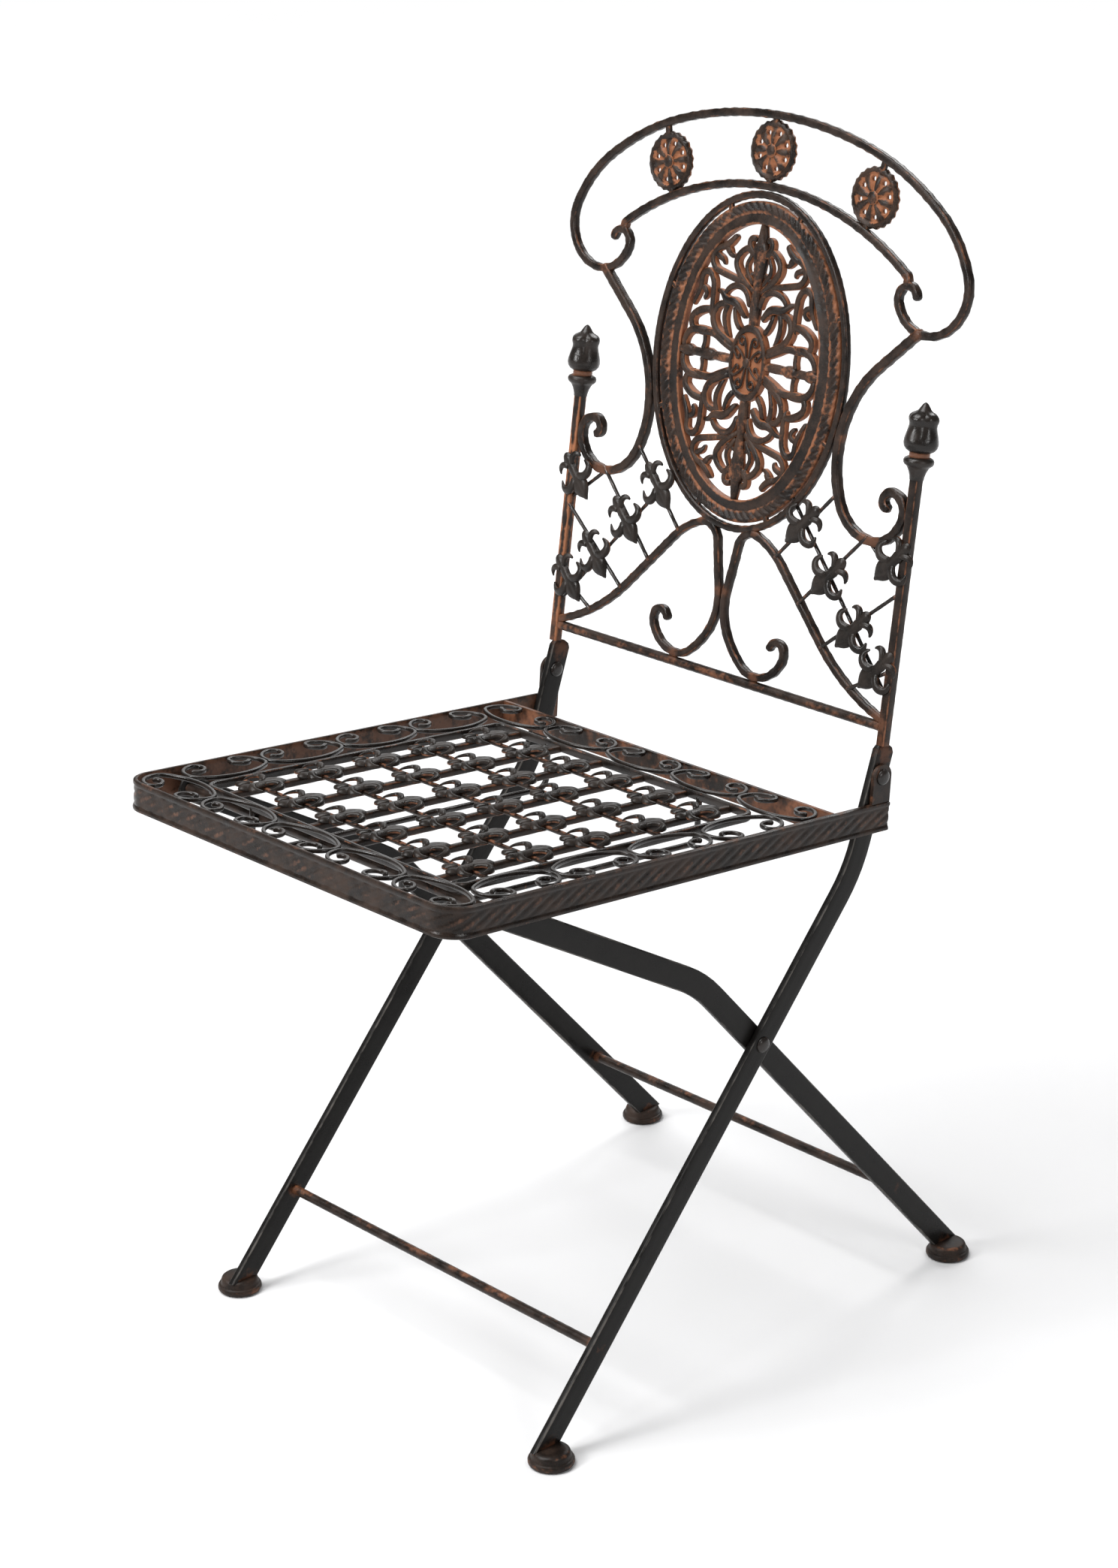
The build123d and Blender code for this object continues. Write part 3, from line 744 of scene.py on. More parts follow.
@dataclass(frozen=True)
class Finish:
    """A finish of the ironwork: dark paint, rubbed to copper at its edges and rusty at its welds; on the legs
    the edge colour is a pale grey that paints a highlight.
    """

    name: str
    dark: Colour = (0.0074, 0.0049, 0.0037, 1)
    pale: Colour = (0.032, 0.0188, 0.013, 1)
    wear_and_highlight: Colour = (0.16, 0.066, 0.034, 1)
    rust: Colour = (0.24, 0.092, 0.043, 1)
    rubbed: float = 0.25
    rub_scale: float = 70.0
    flecks: float = 0.1
    roughness: float = 0.34
    gloss: float = 0.23
    relief: float = 0.35
    dent_scale: float = 95.0
    patch_scale: float = 55.0
    grain_scale: float = 900.0
    rust_scale: float = 160.0
    bump_distance: float = 0.0012
    edge: Edge = Edge.MARKED

    def material(self, effects: Effects) -> bpy.types.Material:
        """Builds the material.

        Args:
            effects: The shared node groups.

        Returns:
            The material.
        """
        made = bpy.data.materials.new(self.name)
        made.use_nodes = True
        made.diffuse_color = self.dark
        nodes = Nodes(made.node_tree)
        place = nodes.add("ShaderNodeTexCoord").outputs["Object"]
        if self.edge is Edge.MARKED:
            edge = nodes.add("ShaderNodeAttribute", attribute_name="rub").outputs["Fac"]
            weld = nodes.add("ShaderNodeAttribute", attribute_name="weld").outputs["Fac"]
        else:
            edge = nodes.span(nodes.add("ShaderNodeNewGeometry").outputs["Pointiness"], 0.5, 0.62)
            weld = 0.0
        coat = nodes.add("ShaderNodeGroup", {"Place": place, "Dark": self.dark, "Pale": self.pale,
                                             "Patch Scale": self.patch_scale,
                                             "Grain Scale": self.grain_scale},
                         node_tree=effects.coat).outputs
        rub = nodes.add("ShaderNodeGroup", {"Place": place, "Color": coat["Color"], "Rub And Highlight": self.wear_and_highlight,
                                            "Edge": edge, "Amount": self.rubbed, "Scale": self.rub_scale},
                        node_tree=effects.rub).outputs
        rust = nodes.add("ShaderNodeGroup", {"Place": place, "Color": rub["Color"], "Rust": self.rust,
                                             "Weld": weld, "Flecks": self.flecks, "Scale": self.rust_scale},
                         node_tree=effects.rust).outputs
        dents = nodes.add("ShaderNodeGroup", {"Place": place, "Scale": self.dent_scale},
                          node_tree=effects.dents).outputs
        worn = nodes.total((rub["Mask"], 0.08), (rust["Mask"], 0.25))
        rough = nodes.math("ADD", nodes.math("ADD", coat["Roughness"], self.roughness), worn)
        height = nodes.total((dents["Height"], 0.9), (coat["Height"], 0.5), (rub["Mask"], -0.25))
        bump = nodes.add("ShaderNodeBump", {"Strength": self.relief, "Distance": self.bump_distance,
                                            "Height": height})
        shader = made.node_tree.nodes["Principled BSDF"].inputs
        for key, value in (("Base Color", rust["Color"]), ("Roughness", rough),
                           ("Normal", bump.outputs["Normal"]), ("Specular IOR Level", self.gloss)):
            nodes.feed(shader[key], value)
        return made


@dataclass
class Studio:
    """Floor, light and camera."""

    camera_place: Place = (1.8799, -1.7306, 1.4106)
    azimuth: float = 47.30
    elevation: float = 20.73
    roll: float = -1.01
    lens: float = 80.26
    sensor: float = 36.0
    lens_shift: float = -0.0029
    floor_half: float = 80.0
    floor_level: float = -0.0004
    # The near tone is a painted shade: darker where the lamps light the floor most, so that the floor reads
    # as an even white.
    floor_near_shaded: Colour = (0.68, 0.68, 0.685, 1)
    floor_far: Colour = (0.92, 0.92, 0.92, 1)
    surround: float = 0.2
    backdrop: float = 0.93
    overhead: float = 3.15
    overhead_place: Place = (-0.5, -0.7, 2.4)
    softness: float = 40.0
    aim: Place = (0.0, 0.0, 0.45)
    lamps: tuple[tuple[str, Place, float, float], ...] = (
        ("key_light", (-0.7, -2.6, 2.0), 0.9, 55.0), ("side_light", (2.7, -0.5, 1.7), 0.8, 18.0),
        ("rim_light", (-0.8, 2.4, 2.4), 1.2, 30.0), ("back_light", (-2.1, 1.9, 1.3), 1.9, 8.5))

    def floor(self) -> None:
        """A wide pale sheet, slightly uneven in tone, with a painted shade that darkens it near the chair."""
        mesh = bpy.data.meshes.new("studio_floor")
        half, level = self.floor_half, self.floor_level
        corners = ((-half, -half), (half, -half), (half, half), (-half, half))
        mesh.from_pydata([(x, y, level) for x, y in corners], [], [(0, 1, 2, 3)])
        sheet = bpy.data.objects.new("studio_floor", mesh)
        bpy.context.scene.collection.objects.link(sheet)
        made = bpy.data.materials.new("floor_paper")
        made.use_nodes = True
        nodes = Nodes(made.node_tree)
        place = nodes.add("ShaderNodeTexCoord").outputs["Object"]
        away = nodes.add("ShaderNodeVectorMath", {0: place}, operation="LENGTH").outputs["Value"]
        cloud = nodes.math("MULTIPLY", nodes.noise(place, 2.2, 4.0, 0.55), 0.1)
        # Painted shade: darker near the chair, where the lamps light it most, and paler far off. The cloud is
        # random tone.
        share = nodes.math("ADD", nodes.span(away, 0.6, 4.0, 0.0, 0.9), cloud)
        shader = made.node_tree.nodes["Principled BSDF"].inputs
        nodes.feed(shader["Base Color"], nodes.mix(share, self.floor_near_shaded, self.floor_far))
        shader["Roughness"].default_value = 0.85
        shader["Specular IOR Level"].default_value = 0.1
        mesh.materials.append(made)

    def light(self) -> None:
        """Even surroundings, pale where the camera sees them, a broad soft light overhead and four lamps."""
        world = bpy.data.worlds.new("studio_light")
        bpy.context.scene.world = world
        world.use_nodes = True
        nodes = Nodes(world.node_tree)
        back = world.node_tree.nodes["Background"].inputs
        back["Color"].default_value = (1.0, 1.0, 1.0, 1)
        seen = nodes.add("ShaderNodeLightPath").outputs["Is Camera Ray"]
        nodes.feed(back["Strength"], nodes.span(seen, 0.0, 1.0, self.surround, self.backdrop))
        bpy.context.scene.view_settings.view_transform = "Standard"
        overhead = bpy.data.lights.new("overhead_light", "SUN")
        overhead.energy = self.overhead
        overhead.angle = radians(self.softness)
        self.stand(overhead, self.overhead_place)
        for name, place, size, power in self.lamps:
            lamp = bpy.data.lights.new(name, "AREA")
            lamp.shape = "DISK"
            lamp.size = size
            lamp.energy = power
            self.stand(lamp, place)

    def stand(self, lamp: bpy.types.Light, place: Place) -> None:
        """Puts a lamp at a place, turned to the chair.

        Args:
            lamp: The lamp.
            place: Where it stands, in metres.
        """
        stand = bpy.data.objects.new(lamp.name, lamp)
        stand.location = place
        stand.rotation_euler = (Vector(self.aim) - Vector(place)).to_track_quat("-Z", "Y").to_euler()
        bpy.context.scene.collection.objects.link(stand)

    def camera(self) -> None:
        """The camera at the photograph's place."""
        az, el, roll = radians(self.azimuth), radians(self.elevation), radians(self.roll)
        back = Vector((sin(az) * cos(el), -cos(az) * cos(el), sin(el)))
        right = (-back).cross(Vector((0, 0, 1))).normalized()
        up = right.cross(-back)
        side = right * cos(roll) + up * sin(roll)
        rise = up * cos(roll) - right * sin(roll)
        eye = bpy.data.cameras.new("photo_camera")
        eye.lens = self.lens
        eye.sensor_width = self.sensor
        eye.shift_x = self.lens_shift
        stand = bpy.data.objects.new("photo_camera", eye)
        facing = Matrix((side, rise, back)).transposed().to_4x4()
        stand.matrix_world = Matrix.Translation(self.camera_place) @ facing
        bpy.context.scene.collection.objects.link(stand)
        bpy.context.scene.camera = stand

    def build(self) -> None:
        """Sets the studio up."""
        self.floor()
        self.light()
        self.camera()


SIDES = (("right", HERE), ("left", FLIP))


class Dresser:
    """Makes pieces of shapes, paints them and ties them to the chair's bodies."""

    EASE = 0.0007
    EASED_ABOVE = 40

    def __init__(self, effects: Effects) -> None:
        """Starts with no finish made."""
        self.effects = effects
        self.made: dict[str, bpy.types.Material] = {}

    def material(self, finish: Finish) -> bpy.types.Material:
        """Gives the material of a finish, built at its first use.

        Args:
            finish: The finish.

        Returns:
            Its material.
        """
        if finish.name not in self.made:
            self.made[finish.name] = finish.material(self.effects)
        return self.made[finish.name]

    def put(self, shape: Shape, name: str, node: str, finish: Finish, place: Matrix = BACK,
            body: Body = Body.FRAME, slot: Slot = Slot.IRON, welds: Sequence[Weld] = ()) -> None:
        """Makes and dresses a piece that stands for a node.

        Args:
            shape: The form of the piece.
            name: Its name.
            node: The node that it stands for.
            finish: What it is painted with.
            place: Where it goes.
            body: What it moves with.
            slot: Not used.
            welds: Weld places on the shape and their radius.
        """
        piece = shape.part(name, place, welds)
        piece.data.materials.append(self.material(finish))
        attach(piece, body.value)
        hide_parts(node)
        log.info("%s: %d faces on %s", name, len(piece.data.polygons), body.value)

    def pair(self, shape: Shape, name: str, node: str, finish: Finish, place: Matrix = BACK,
             **more: object) -> None:
        """Makes and dresses a right piece and its mirror image on the left.

        Args:
            shape: The form of the right piece.
            name: The pieces' name after their side.
            node: The nodes' name after their side.
            finish: What they are painted with.
            place: Where the right piece goes.
            **more: Body, slot and welds, as for one piece.
        """
        for side, flip in SIDES:
            self.put(shape, f"{side}_{name}", f"{side}_{node}", finish, flip @ place, **more)

    def keep(self, name: str, finish: Finish) -> None:
        """Dresses a node that keeps its own form, with eased edges.

        Args:
            name: The node.
            finish: What it is painted with.
        """
        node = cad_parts[name]
        soft = node.modifiers.new("eased_edges", "BEVEL")
        soft.width = self.EASE
        soft.segments = 2
        soft.limit_method = "ANGLE"
        soft.angle_limit = radians(self.EASED_ABOVE)
        soft.harden_normals = True
        for slot in node.material_slots:
            slot.link = "OBJECT"
            slot.material = self.material(finish)
        log.info("%s: kept as drawn", name)


SOOT: Colour = (0.0085, 0.0068, 0.0056, 1)
BAR = Finish("bar_paint", rubbed=0.45, rub_scale=45.0, flecks=0.05)
WIRE = Finish("wire_paint", dark=(0.006, 0.0048, 0.0041, 1), pale=(0.02, 0.0145, 0.0118, 1), rubbed=0.4,
              flecks=0.05, roughness=0.26, gloss=0.4, relief=0.2)
BARE = Finish("bare_bar_paint", rubbed=0.3, flecks=0.08, edge=Edge.FORM)
# The legs' rub colour is a pale neutral grey, not copper: it paints a highlight along their rubbed edges.
LEG = Finish("leg_paint", dark=(0.0058, 0.0052, 0.0047, 1), pale=(0.0098, 0.0088, 0.008, 1),
             wear_and_highlight=(0.095, 0.086, 0.078, 1), rubbed=0.56, rub_scale=24.0, flecks=0.0, roughness=0.32,
             gloss=0.15, relief=0.15, dent_scale=45.0)
POST = Finish("post_paint", rubbed=0.6, flecks=0.2)
WORN_POST = Finish("worn_post_paint", wear_and_highlight=(0.3, 0.12, 0.056, 1), rubbed=1.0, rub_scale=38.0, flecks=0.25)
RAIL = Finish("rail_paint", wear_and_highlight=(0.17, 0.068, 0.034, 1), rubbed=0.5, rub_scale=32.0, edge=Edge.FORM)
LUG = Finish("lug_paint", rubbed=0.34, rub_scale=45.0, flecks=0.15, edge=Edge.FORM)
BUD = Finish("bud_paint", dark=SOOT, pale=(0.024, 0.017, 0.0138, 1), rubbed=0.5, flecks=0.0, roughness=0.3,
             gloss=0.34, relief=0.5, dent_scale=130.0)
CAST = Finish("cast_paint", pale=(0.05, 0.026, 0.0155, 1), wear_and_highlight=(0.25, 0.096, 0.043, 1), rubbed=0.93,
              flecks=0.05, roughness=0.42)
OVAL = Finish("oval_paint", pale=(0.034, 0.0192, 0.0128, 1), wear_and_highlight=(0.235, 0.092, 0.043, 1), rubbed=0.7,
              flecks=0.04, roughness=0.44)
# The apron's copper marks the ridges of its rope strokes: partly wear on the raised strokes, partly a painted
# highlight beside the dark grooves.
APRON = Finish("apron_paint", wear_and_highlight=(0.1, 0.047, 0.028, 1), rubbed=0.46, flecks=0.12, roughness=0.32)
FLEUR = Finish("fleur_paint", dark=SOOT, pale=(0.024, 0.0172, 0.0136, 1), rubbed=0.38, flecks=0.02,
               roughness=0.33, gloss=0.26)
FOOT = Finish("foot_paint", rubbed=0.5, roughness=0.46)


@dataclass
class BackScrolls:
    """Crest rail, arch, S-scrolls, lyres and the ring of the oval."""

    bar: float = 6.5
    s_bar: float = 7.4
    ring_bar: float = 6.0
    ease: float = 1.8
    marks: float = 0.3
    mark_pitch: float = 12.0
    tip: float = 0.9
    crest_half_width: float = 212.5
    crest_bottom: float = 304.0
    crest_top: float = 448.0
    arch_top: float = 393.0
    post_face: float = 181.5
    oval_centre: float = 254.0
    oval_half_width: float = 105.0
    oval_half_height: float = 135.0
    s_bottom: float = 141.0
    rail: float = 2.0

    def crest_point(self, out: float, up: float) -> Flat:
        """A place from shares of the crest's half width and of its height."""
        return (self.crest_half_width * out, self.crest_bottom + (self.crest_top - self.crest_bottom) * up)

    def hammered(self, path: Path, size: float, marks: float) -> Shape:
        """A square hammered bar with rounded ends."""
        section = Section.eased(size, size, self.ease)
        return Shape().sweep(path, section, ripple=marks, pitch=self.mark_pitch, tip=self.tip)

    def crest(self) -> Shape:
        """Bends the crest rail.

        Returns:
            The rail, from one curl over the top to the other.
        """
        shares = [(0, 1), (0.466, 0.906), (0.839, 0.632), (0.99, 0.347), (1, 0.2), (0.823, 0), (0.692, 0.132),
                  (0.709, 0.229), (0.758, 0.226), (0.772, 0.188)]
        half = Path.arcs([self.crest_point(*share) for share in shares], 0)
        return self.hammered(half.mirrored(), self.bar, 0.32)

    def arch(self) -> Shape:
        """Bends the arch below the medallions.

        Returns:
            The arch.
        """
        tall = self.crest_top - self.crest_bottom
        half = Path.arcs([(0, self.arch_top), (0.373 * self.crest_half_width, self.arch_top - 0.083 * tall),
                          self.crest_point(0.711, 0.292), self.crest_point(0.72, 0.25)], 0)
        return self.hammered(half.mirrored(), self.bar, self.marks)

    def s_scroll(self) -> Shape:
        """Bends the right S-scroll, from the crest round the oval to its curl by the post.

        Returns:
            The scroll.
        """
        near, low, face = self.oval_half_width - 1, self.s_bottom, self.post_face
        points = [self.crest_point(0.804, 0.007), (0.639 * self.crest_half_width, self.crest_bottom - 31),
                  (near, self.oval_centre - 0.4 * self.oval_half_height), (near + 9, low + 22),
                  (near + 43, low), (face - 4, low + 22), (face - 4, low + 31), (face - 17, low + 41),
                  (face - 25, low + 34), (face - 21, low + 28)]
        first = degrees(atan2(points[1][1] - points[0][1], points[1][0] - points[0][0]))
        return self.hammered(Path.arcs(points, first), self.s_bar, self.marks)

    def lyre(self) -> Shape:
        """Bends the right lyre, from the foot of the post over its loop to its curl.

        Returns:
            The lyre.
        """
        base = self.rail + 4
        rise = self.oval_centre - self.oval_half_height + 2 - base
        points = [(self.post_face + 2, base + 1), (0.595 * self.post_face, base + 0.41 * rise),
                  (60, base + 0.843 * rise), (31, base + rise), (11.5, base + 0.896 * rise),
                  (4.6, base + 0.574 * rise), (12, base + 0.235 * rise), (30, base + 8), (45, base + 3.3),
                  (72, base + 21), (72, base + 32), (62, base + 35), (58, base + 30)]
        run = degrees(atan2(points[2][1] - points[1][1], points[2][0] - points[1][0]))
        first = 2 * degrees(atan2(points[1][1] - points[0][1], points[1][0] - points[0][0])) - run
        return self.hammered(Path.arcs(points, first), self.bar, self.marks)

    def ring(self) -> Shape:
        """Bends the hammered ring round the cast oval.

        Returns:
            The ring.
        """
        half = self.ring_bar / 2
        path = Path.oval(self.oval_half_width - half, self.oval_half_height - half, 200)
        section = Section.eased(self.ring_bar, self.ring_bar, self.ease)
        return Shape().sweep(path, section, ripple=0.25, pitch=8.6).moved(shift(0, self.oval_centre, 0))

    def build(self, dresser: Dresser) -> None:
        """Builds and dresses the scrolls.

        Args:
            dresser: What paints and places them.
        """
        s_start, hook = self.crest_point(0.804, 0.007), self.crest_point(0.715, 0.27)
        s_welds = [(*s_start, 0, 13), (self.oval_half_width + 2, self.oval_centre - 40, 0, 8),
                   (148, self.s_bottom, 0, 22)]
        lyre_welds = [(self.post_face, 5, 0, 22), (30, 124, 0, 9), (46, 8, 0, 12), (3, 70, 0, 10)]
        ends = weld_pair(*hook, 9)
        dresser.put(self.crest(), "crest_rail_bar", "crest_rail", BAR, welds=ends + weld_pair(*s_start, 9))
        dresser.put(self.arch(), "crest_arch_bar", "crest_inner_arch", BAR, welds=ends)
        dresser.put(self.ring(), "oval_ring_bar", "oval_outer_ring", BAR, welds=weld_pair(30, 124, 9))
        s_scroll, lyre = self.s_scroll(), self.lyre()
        for side, flip in SIDES:
            dresser.put(s_scroll, f"{side}_s_bar", f"{side}_s_scroll", BAR, BACK @ flip, welds=s_welds)
            dresser.put(lyre, f"{side}_lyre_bar", f"{side}_lyre_scroll", BAR, BACK @ flip, welds=lyre_welds)


def smooth_loop(points: Sequence[Flat], steps: int) -> list[Flat]:
    """Rounds a closed outline by a spline through its points.

    Args:
        points: Places round the outline.
        steps: Pieces between two places.

    Returns:
        The rounded outline.
    """
    made: list[Flat] = []
    count = len(points)
    for at in range(count):
        a, b, c, d = (Vector(points[(at + k) % count]) for k in (-1, 0, 1, 2))
        for step in range(steps):
            t = step / steps
            made.append(tuple(0.5 * (2 * b + (c - a) * t + (2 * a - 5 * b + 4 * c - d) * t ** 2
                                     + (3 * b - a - 3 * c + d) * t ** 3)))
    return made


def taper(first: float, middle: float, last: float) -> Callable[[float], float]:
    """Shapes a width that swells from one end to the middle and thins to the other end.

    Args:
        first: Share of the width at the start.
        middle: Share at the widest place.
        last: Share at the end.

    Returns:
        The share of the width by share of the length.
    """
    widest = 0.4

    def width(share: float) -> float:
        """Gives the width at a share of the length.

        Args:
            share: Share of the length.

        Returns:
            Share of the width.
        """
        if share < widest:
            return first + (middle - first) * sin(share / widest * pi / 2)
        return last + (middle - last) * cos((share - widest) / (1 - widest) * pi / 2)
    return width


def even_wear(x: float, y: float) -> float:
    """A light rub that is the same everywhere."""
    return 0.2


@dataclass
class Fleur:
    """Cast double fleur: a leaf at one end, a bud at the other, and two pairs of hooks."""

    wall: float = 1.1
    dome: float = 2.3
    grid: float = 1.7
    petal: float = 7.2
    bow: float = 0.0
    arch: float = 1.2
    strip: float = 3.2

    @staticmethod
    def vein(x: float, y: float) -> float:
        """The groove along the middle of the leaf."""
        return -0.5 * max(0.0, 1 - abs(x) / 1.2) * (y < -3)

    def shape(self) -> Shape:
        """Forms the casting.

        Returns:
            The fleur, its leaf toward -Y and its underside at zero.
        """
        half = [(2.6, -19.5), (6.2, -15.5), (8.5, -10.5), (7.9, -5.5), (5, -1.5), (4.2, 3.5), (4.8, 7.5),
                (4.3, 10.5), (5.1, 14.5), (4.7, 19), (2.6, 22.3)]
        outline = [(0, -22.8), *half, (0, 23.2), *[(-x, y) for x, y in reversed(half)]]
        made = Shape().relief(smooth_loop(outline, 2), self.wall, self.dome, 6.0, self.grid, rise=self.vein)
        lower = [(3, -1), (9.5, -5 - self.bow), (15.5, -3.8 - self.bow), (17.6, 1.5), (16, 6)]
        upper = [(2.5, 11.5), (6.5, 15.6), (11, 15.6), (14, 11.5)]
        hook = Shape()
        for points, heading, wide, last in ((lower, -50, self.petal, 0.25), (upper, 60, 5.4, 0.3)):
            section = Section.crowned(wide, self.strip)
            hook.sweep(Path.arcs(points, heading, 14, 4), section, taper(0.85, 1.0, last))
        for point in hook.points:
            point.z += self.arch * sin(pi * min(hypot(point.x, point.y) / 20, 1))
        return made.join(hook, HERE, FLIP)


@dataclass
class CastOval:
    """Cast oval of the back: roped band, openwork and boss."""

    centre: float = 254.0
    outer: Flat = (97.0, 127.0)
    inner: Flat = (75.0, 109.0)
    rib_count: int = 96
    rib_height: float = 1.7
    lug_count: int = 8
    strip: float = 5.8
    depth: float = 5.4
    boss: Flat = (20.0, 31.0)

    def rope(self) -> Shape:
        """Forms the band, with slanting ribs round its outer half.

        Returns:
            The band.
        """
        points = self.rib_count * 8
        outer = Path.oval(*self.outer, points)
        pitch = outer.total / self.rib_count
        profile = [(0.0, -3.1, 0.9), (0.04, -3.5, 0.6), (0.96, -3.5, 0.3), (1.0, -3.1, 0.7), (1.0, 0.4, 0.95),
                   (0.985, 1.3, 0.9), (0.95, 2.0, 0.75), (0.9, 2.5, 0.6), (0.84, 2.9, 0.45), (0.77, 3.0, 0.4),
                   (0.7, 2.9, 0.45), (0.63, 2.6, 0.5), (0.57, 2.2, 0.65), (0.51, 1.8, 0.8), (0.46, 1.5, 0.7),
                   (0.42, 1.7, 0.2), (0.3, 2.0, 0.05), (0.15, 2.2, 0.1), (0.09, 2.9, 0.6), (0.04, 3.1, 0.9),
                   (0.0, 2.5, 1.0), (0.0, 1.0, 1.0)]

        def ribs(length: float, share: float) -> float:
            """Gives the height of the ribs.

            Args:
                length: Length along the band.
                share: Share of the way out.

            Returns:
                Height above the plain band.
            """
            if not 0.45 < share < 0.995:
                return 0.0
            wave = abs(sin(pi * (length / pitch - 2.6 * share)))
            return self.rib_height * (wave - 0.55) * sin(pi * (share - 0.44) / 0.57) ** 0.5
        return Shape().band(Path.oval(*self.inner, points), outer, profile, ribs)

    def lugs(self) -> Shape:
        """Forms the small lugs across the gap to the ring.

        Returns:
            The lugs.
        """
        made = Shape()
        for index in range(self.lug_count):
            angle = 2 * pi * (index + 0.5) / self.lug_count
            root = Vector((self.outer[0] * cos(angle), self.outer[1] * sin(angle), 0))
            path = Path([root * share for share in (0.985, 1.0, 1.012, 1.025)])
            made.sweep(path, Section.eased(4.5, 4.0, 1.2))
        return made

    def openwork(self) -> Shape:
        """Forms four mirrored quarters of scrolls and leaves about a spear and a cross bar.

        Returns:
            The openwork, from half its depth below zero.
        """
        section = Section.crowned(self.strip, self.depth, 0.68)
        runs = [([(6, 45), (9, 53), (16, 58), (26, 57), (33, 50.5)], 80, (0.9, 1.0, 0.8)),
                ([(10, 36), (16, 42.5), (25, 45.5), (34, 48.5), (43, 51.5)], 50, (0.9, 1.25, 0.5)),
                ([(24, 46), (29.5, 42.5), (32, 37.5)], -15, (0.9, 1.0, 0.4)),
                ([(26, 45), (30, 37), (29.5, 27), (25, 17)], -50, (0.9, 1.0, 0.7)),
                ([(20, 12), (33, 18), (41, 26), (42, 34), (38, 40.5), (30, 41.5)], 22, (1.0, 1.2, 0.9)),
                ([(43, 35), (54, 34.5), (63, 29.5), (65, 21.5), (60, 16.5)], 12, (0.9, 1.2, 1.0)),
                ([(19, 8.5), (34, 15.5), (47, 17.5), (59, 17)], 22, (1.0, 1.15, 0.9)),
                ([(51, 18), (49.5, 11), (50.5, 4)], 250, (0.9, 0.85, 0.9)),
                ([(47, 18.5), (60, 18), (69, 12.5), (71.5, 4)], 4, (0.9, 1.15, 1.0)),
                ([(14, 26), (19, 33), (21, 40)], 40, (0.9, 0.9, 0.8)),
                ([(45, 32), (45.5, 54), (49, 63), (54.5, 65), (59.5, 59), (62.5, 46), (67, 38)], 90,
                 (1.0, 1.05, 0.75)),
                ([(60.5, 53), (55.5, 51), (53.5, 47), (56, 43.5)], 200, (0.7, 0.9, 0.7)),
                ([(4, 56), (11.5, 60), (12, 67), (6, 70)], 40, (0.7, 0.8, 0.6)),
                ([(7, 58), (16, 65), (22.5, 73), (22, 82), (15.5, 88), (9, 85)], 35, (0.8, 1.1, 0.9)),
                ([(6, 62), (11, 69), (12, 79), (9, 85)], 60, (0.7, 0.8, 0.7)),
                ([(4, 84), (10, 88.5), (12, 94.5), (7, 97)], 30, (0.8, 1.0, 0.9)),
                ([(10, 61), (30, 64.5), (42, 67), (50, 74.5), (47.5, 83), (39, 87), (33, 83)], 8,
                 (0.8, 1.0, 0.9)),
                ([(42, 86), (34.5, 89.5), (28.5, 95.5)], 165, (0.9, 1.05, 0.9)),
                ([(36, 85), (31, 81), (26.5, 81.5)], 230, (0.8, 0.8, 0.35)),
                ([(47, 80), (41.5, 77.5), (38.5, 73.5)], 205, (0.8, 0.9, 0.6))]
        quarter = Shape()
        for points, heading, width in runs:
            quarter.sweep(Path.arcs(points, heading, 9, 4), section, taper(*width), tip=0.9)
        spear = [(4.2, 28), (5.4, 44), (3.6, 58), (6, 76), (8.5, 90), (5, 95), (4.6, 99), (2.4, 110)]
        stem = Shape().relief([*spear, (0, 111), *[(-x, y) for x, y in reversed(spear)]], 3.0, 2.4, 3.5, 1.5,
                              rise=self.ridge, wear=even_wear)
        bar = [(18, 3.4), (30, 3.8), (38, 3.4), (42, 5), (48, 5), (52, 3.4), (61, 3.4), (65, 5), (71, 5),
               (73, 3.6), (77, 3.4)]
        rail = Shape().relief([*[(x, -y) for x, y in bar], *reversed(bar)], 3.0, 2.8, 3.0, 1.5,
                              wear=even_wear)
        half = quarter.moved(HERE, FLIP).join(stem)
        made = half.moved(HERE, UPSIDE_DOWN).join(rail, HERE, FLIP)
        return made.moved(shift(0, 0, -self.depth / 2))

    @staticmethod
    def ridge(x: float, y: float) -> float:
        """The ridge along the middle of the spear."""
        return 0.7 * max(0.0, 1 - abs(x) / 1.5)

    def middle(self) -> Shape:
        """Forms the boss, with a broad rim and small scrolls in its hollow.

        Returns:
            The boss.
        """
        profile = [(0.0, -3.4, 0.5), (1.0, -3.4, 0.8), (1.0, 1.2, 0.7), (0.98, 2.7, 0.2), (0.92, 3.5, 0.0),
                   (0.84, 3.5, 0.0), (0.79, 2.7, 0.3), (0.76, 1.4, 1.3), (0.6, 1.5, 1.3), (0.35, 1.8, 1.3),
                   (0.0, 2.0, 1.2)]
        made = Shape().band(Path.oval(0.4, 0.62, 64), Path.oval(*self.boss, 64), profile)
        curls = (([(1.4, 3), (2.2, 10), (3.6, 17.5), (7.4, 20.2), (10, 16.5), (7.6, 13.8), (5.8, 16)], 86),
                 ([(2.6, 2), (7, 7.5), (11.5, 10.8), (14, 7), (11.6, 3.8), (9.2, 5.4)], 62))
        quarter = Shape()
        for points, heading in curls:
            path = Path.arcs(points, heading, 20, 4)
            quarter.sweep(path, Section.crowned(2.8, 2.8), taper(0.8, 1.0, 0.85), tip=0.9)
        scrolls = quarter.moved(HERE, FLIP).moved(HERE, UPSIDE_DOWN)
        bud = Shape().turned([(4.2, 0, 0.3), (4.2, 1.4, 0.4), (3.2, 2.4, 0.1), (1, 2.9, 0.0)], 16)
        return made.join(scrolls, shift(0, 0, 1.2)).join(bud, shift(0, 0, 1.8))

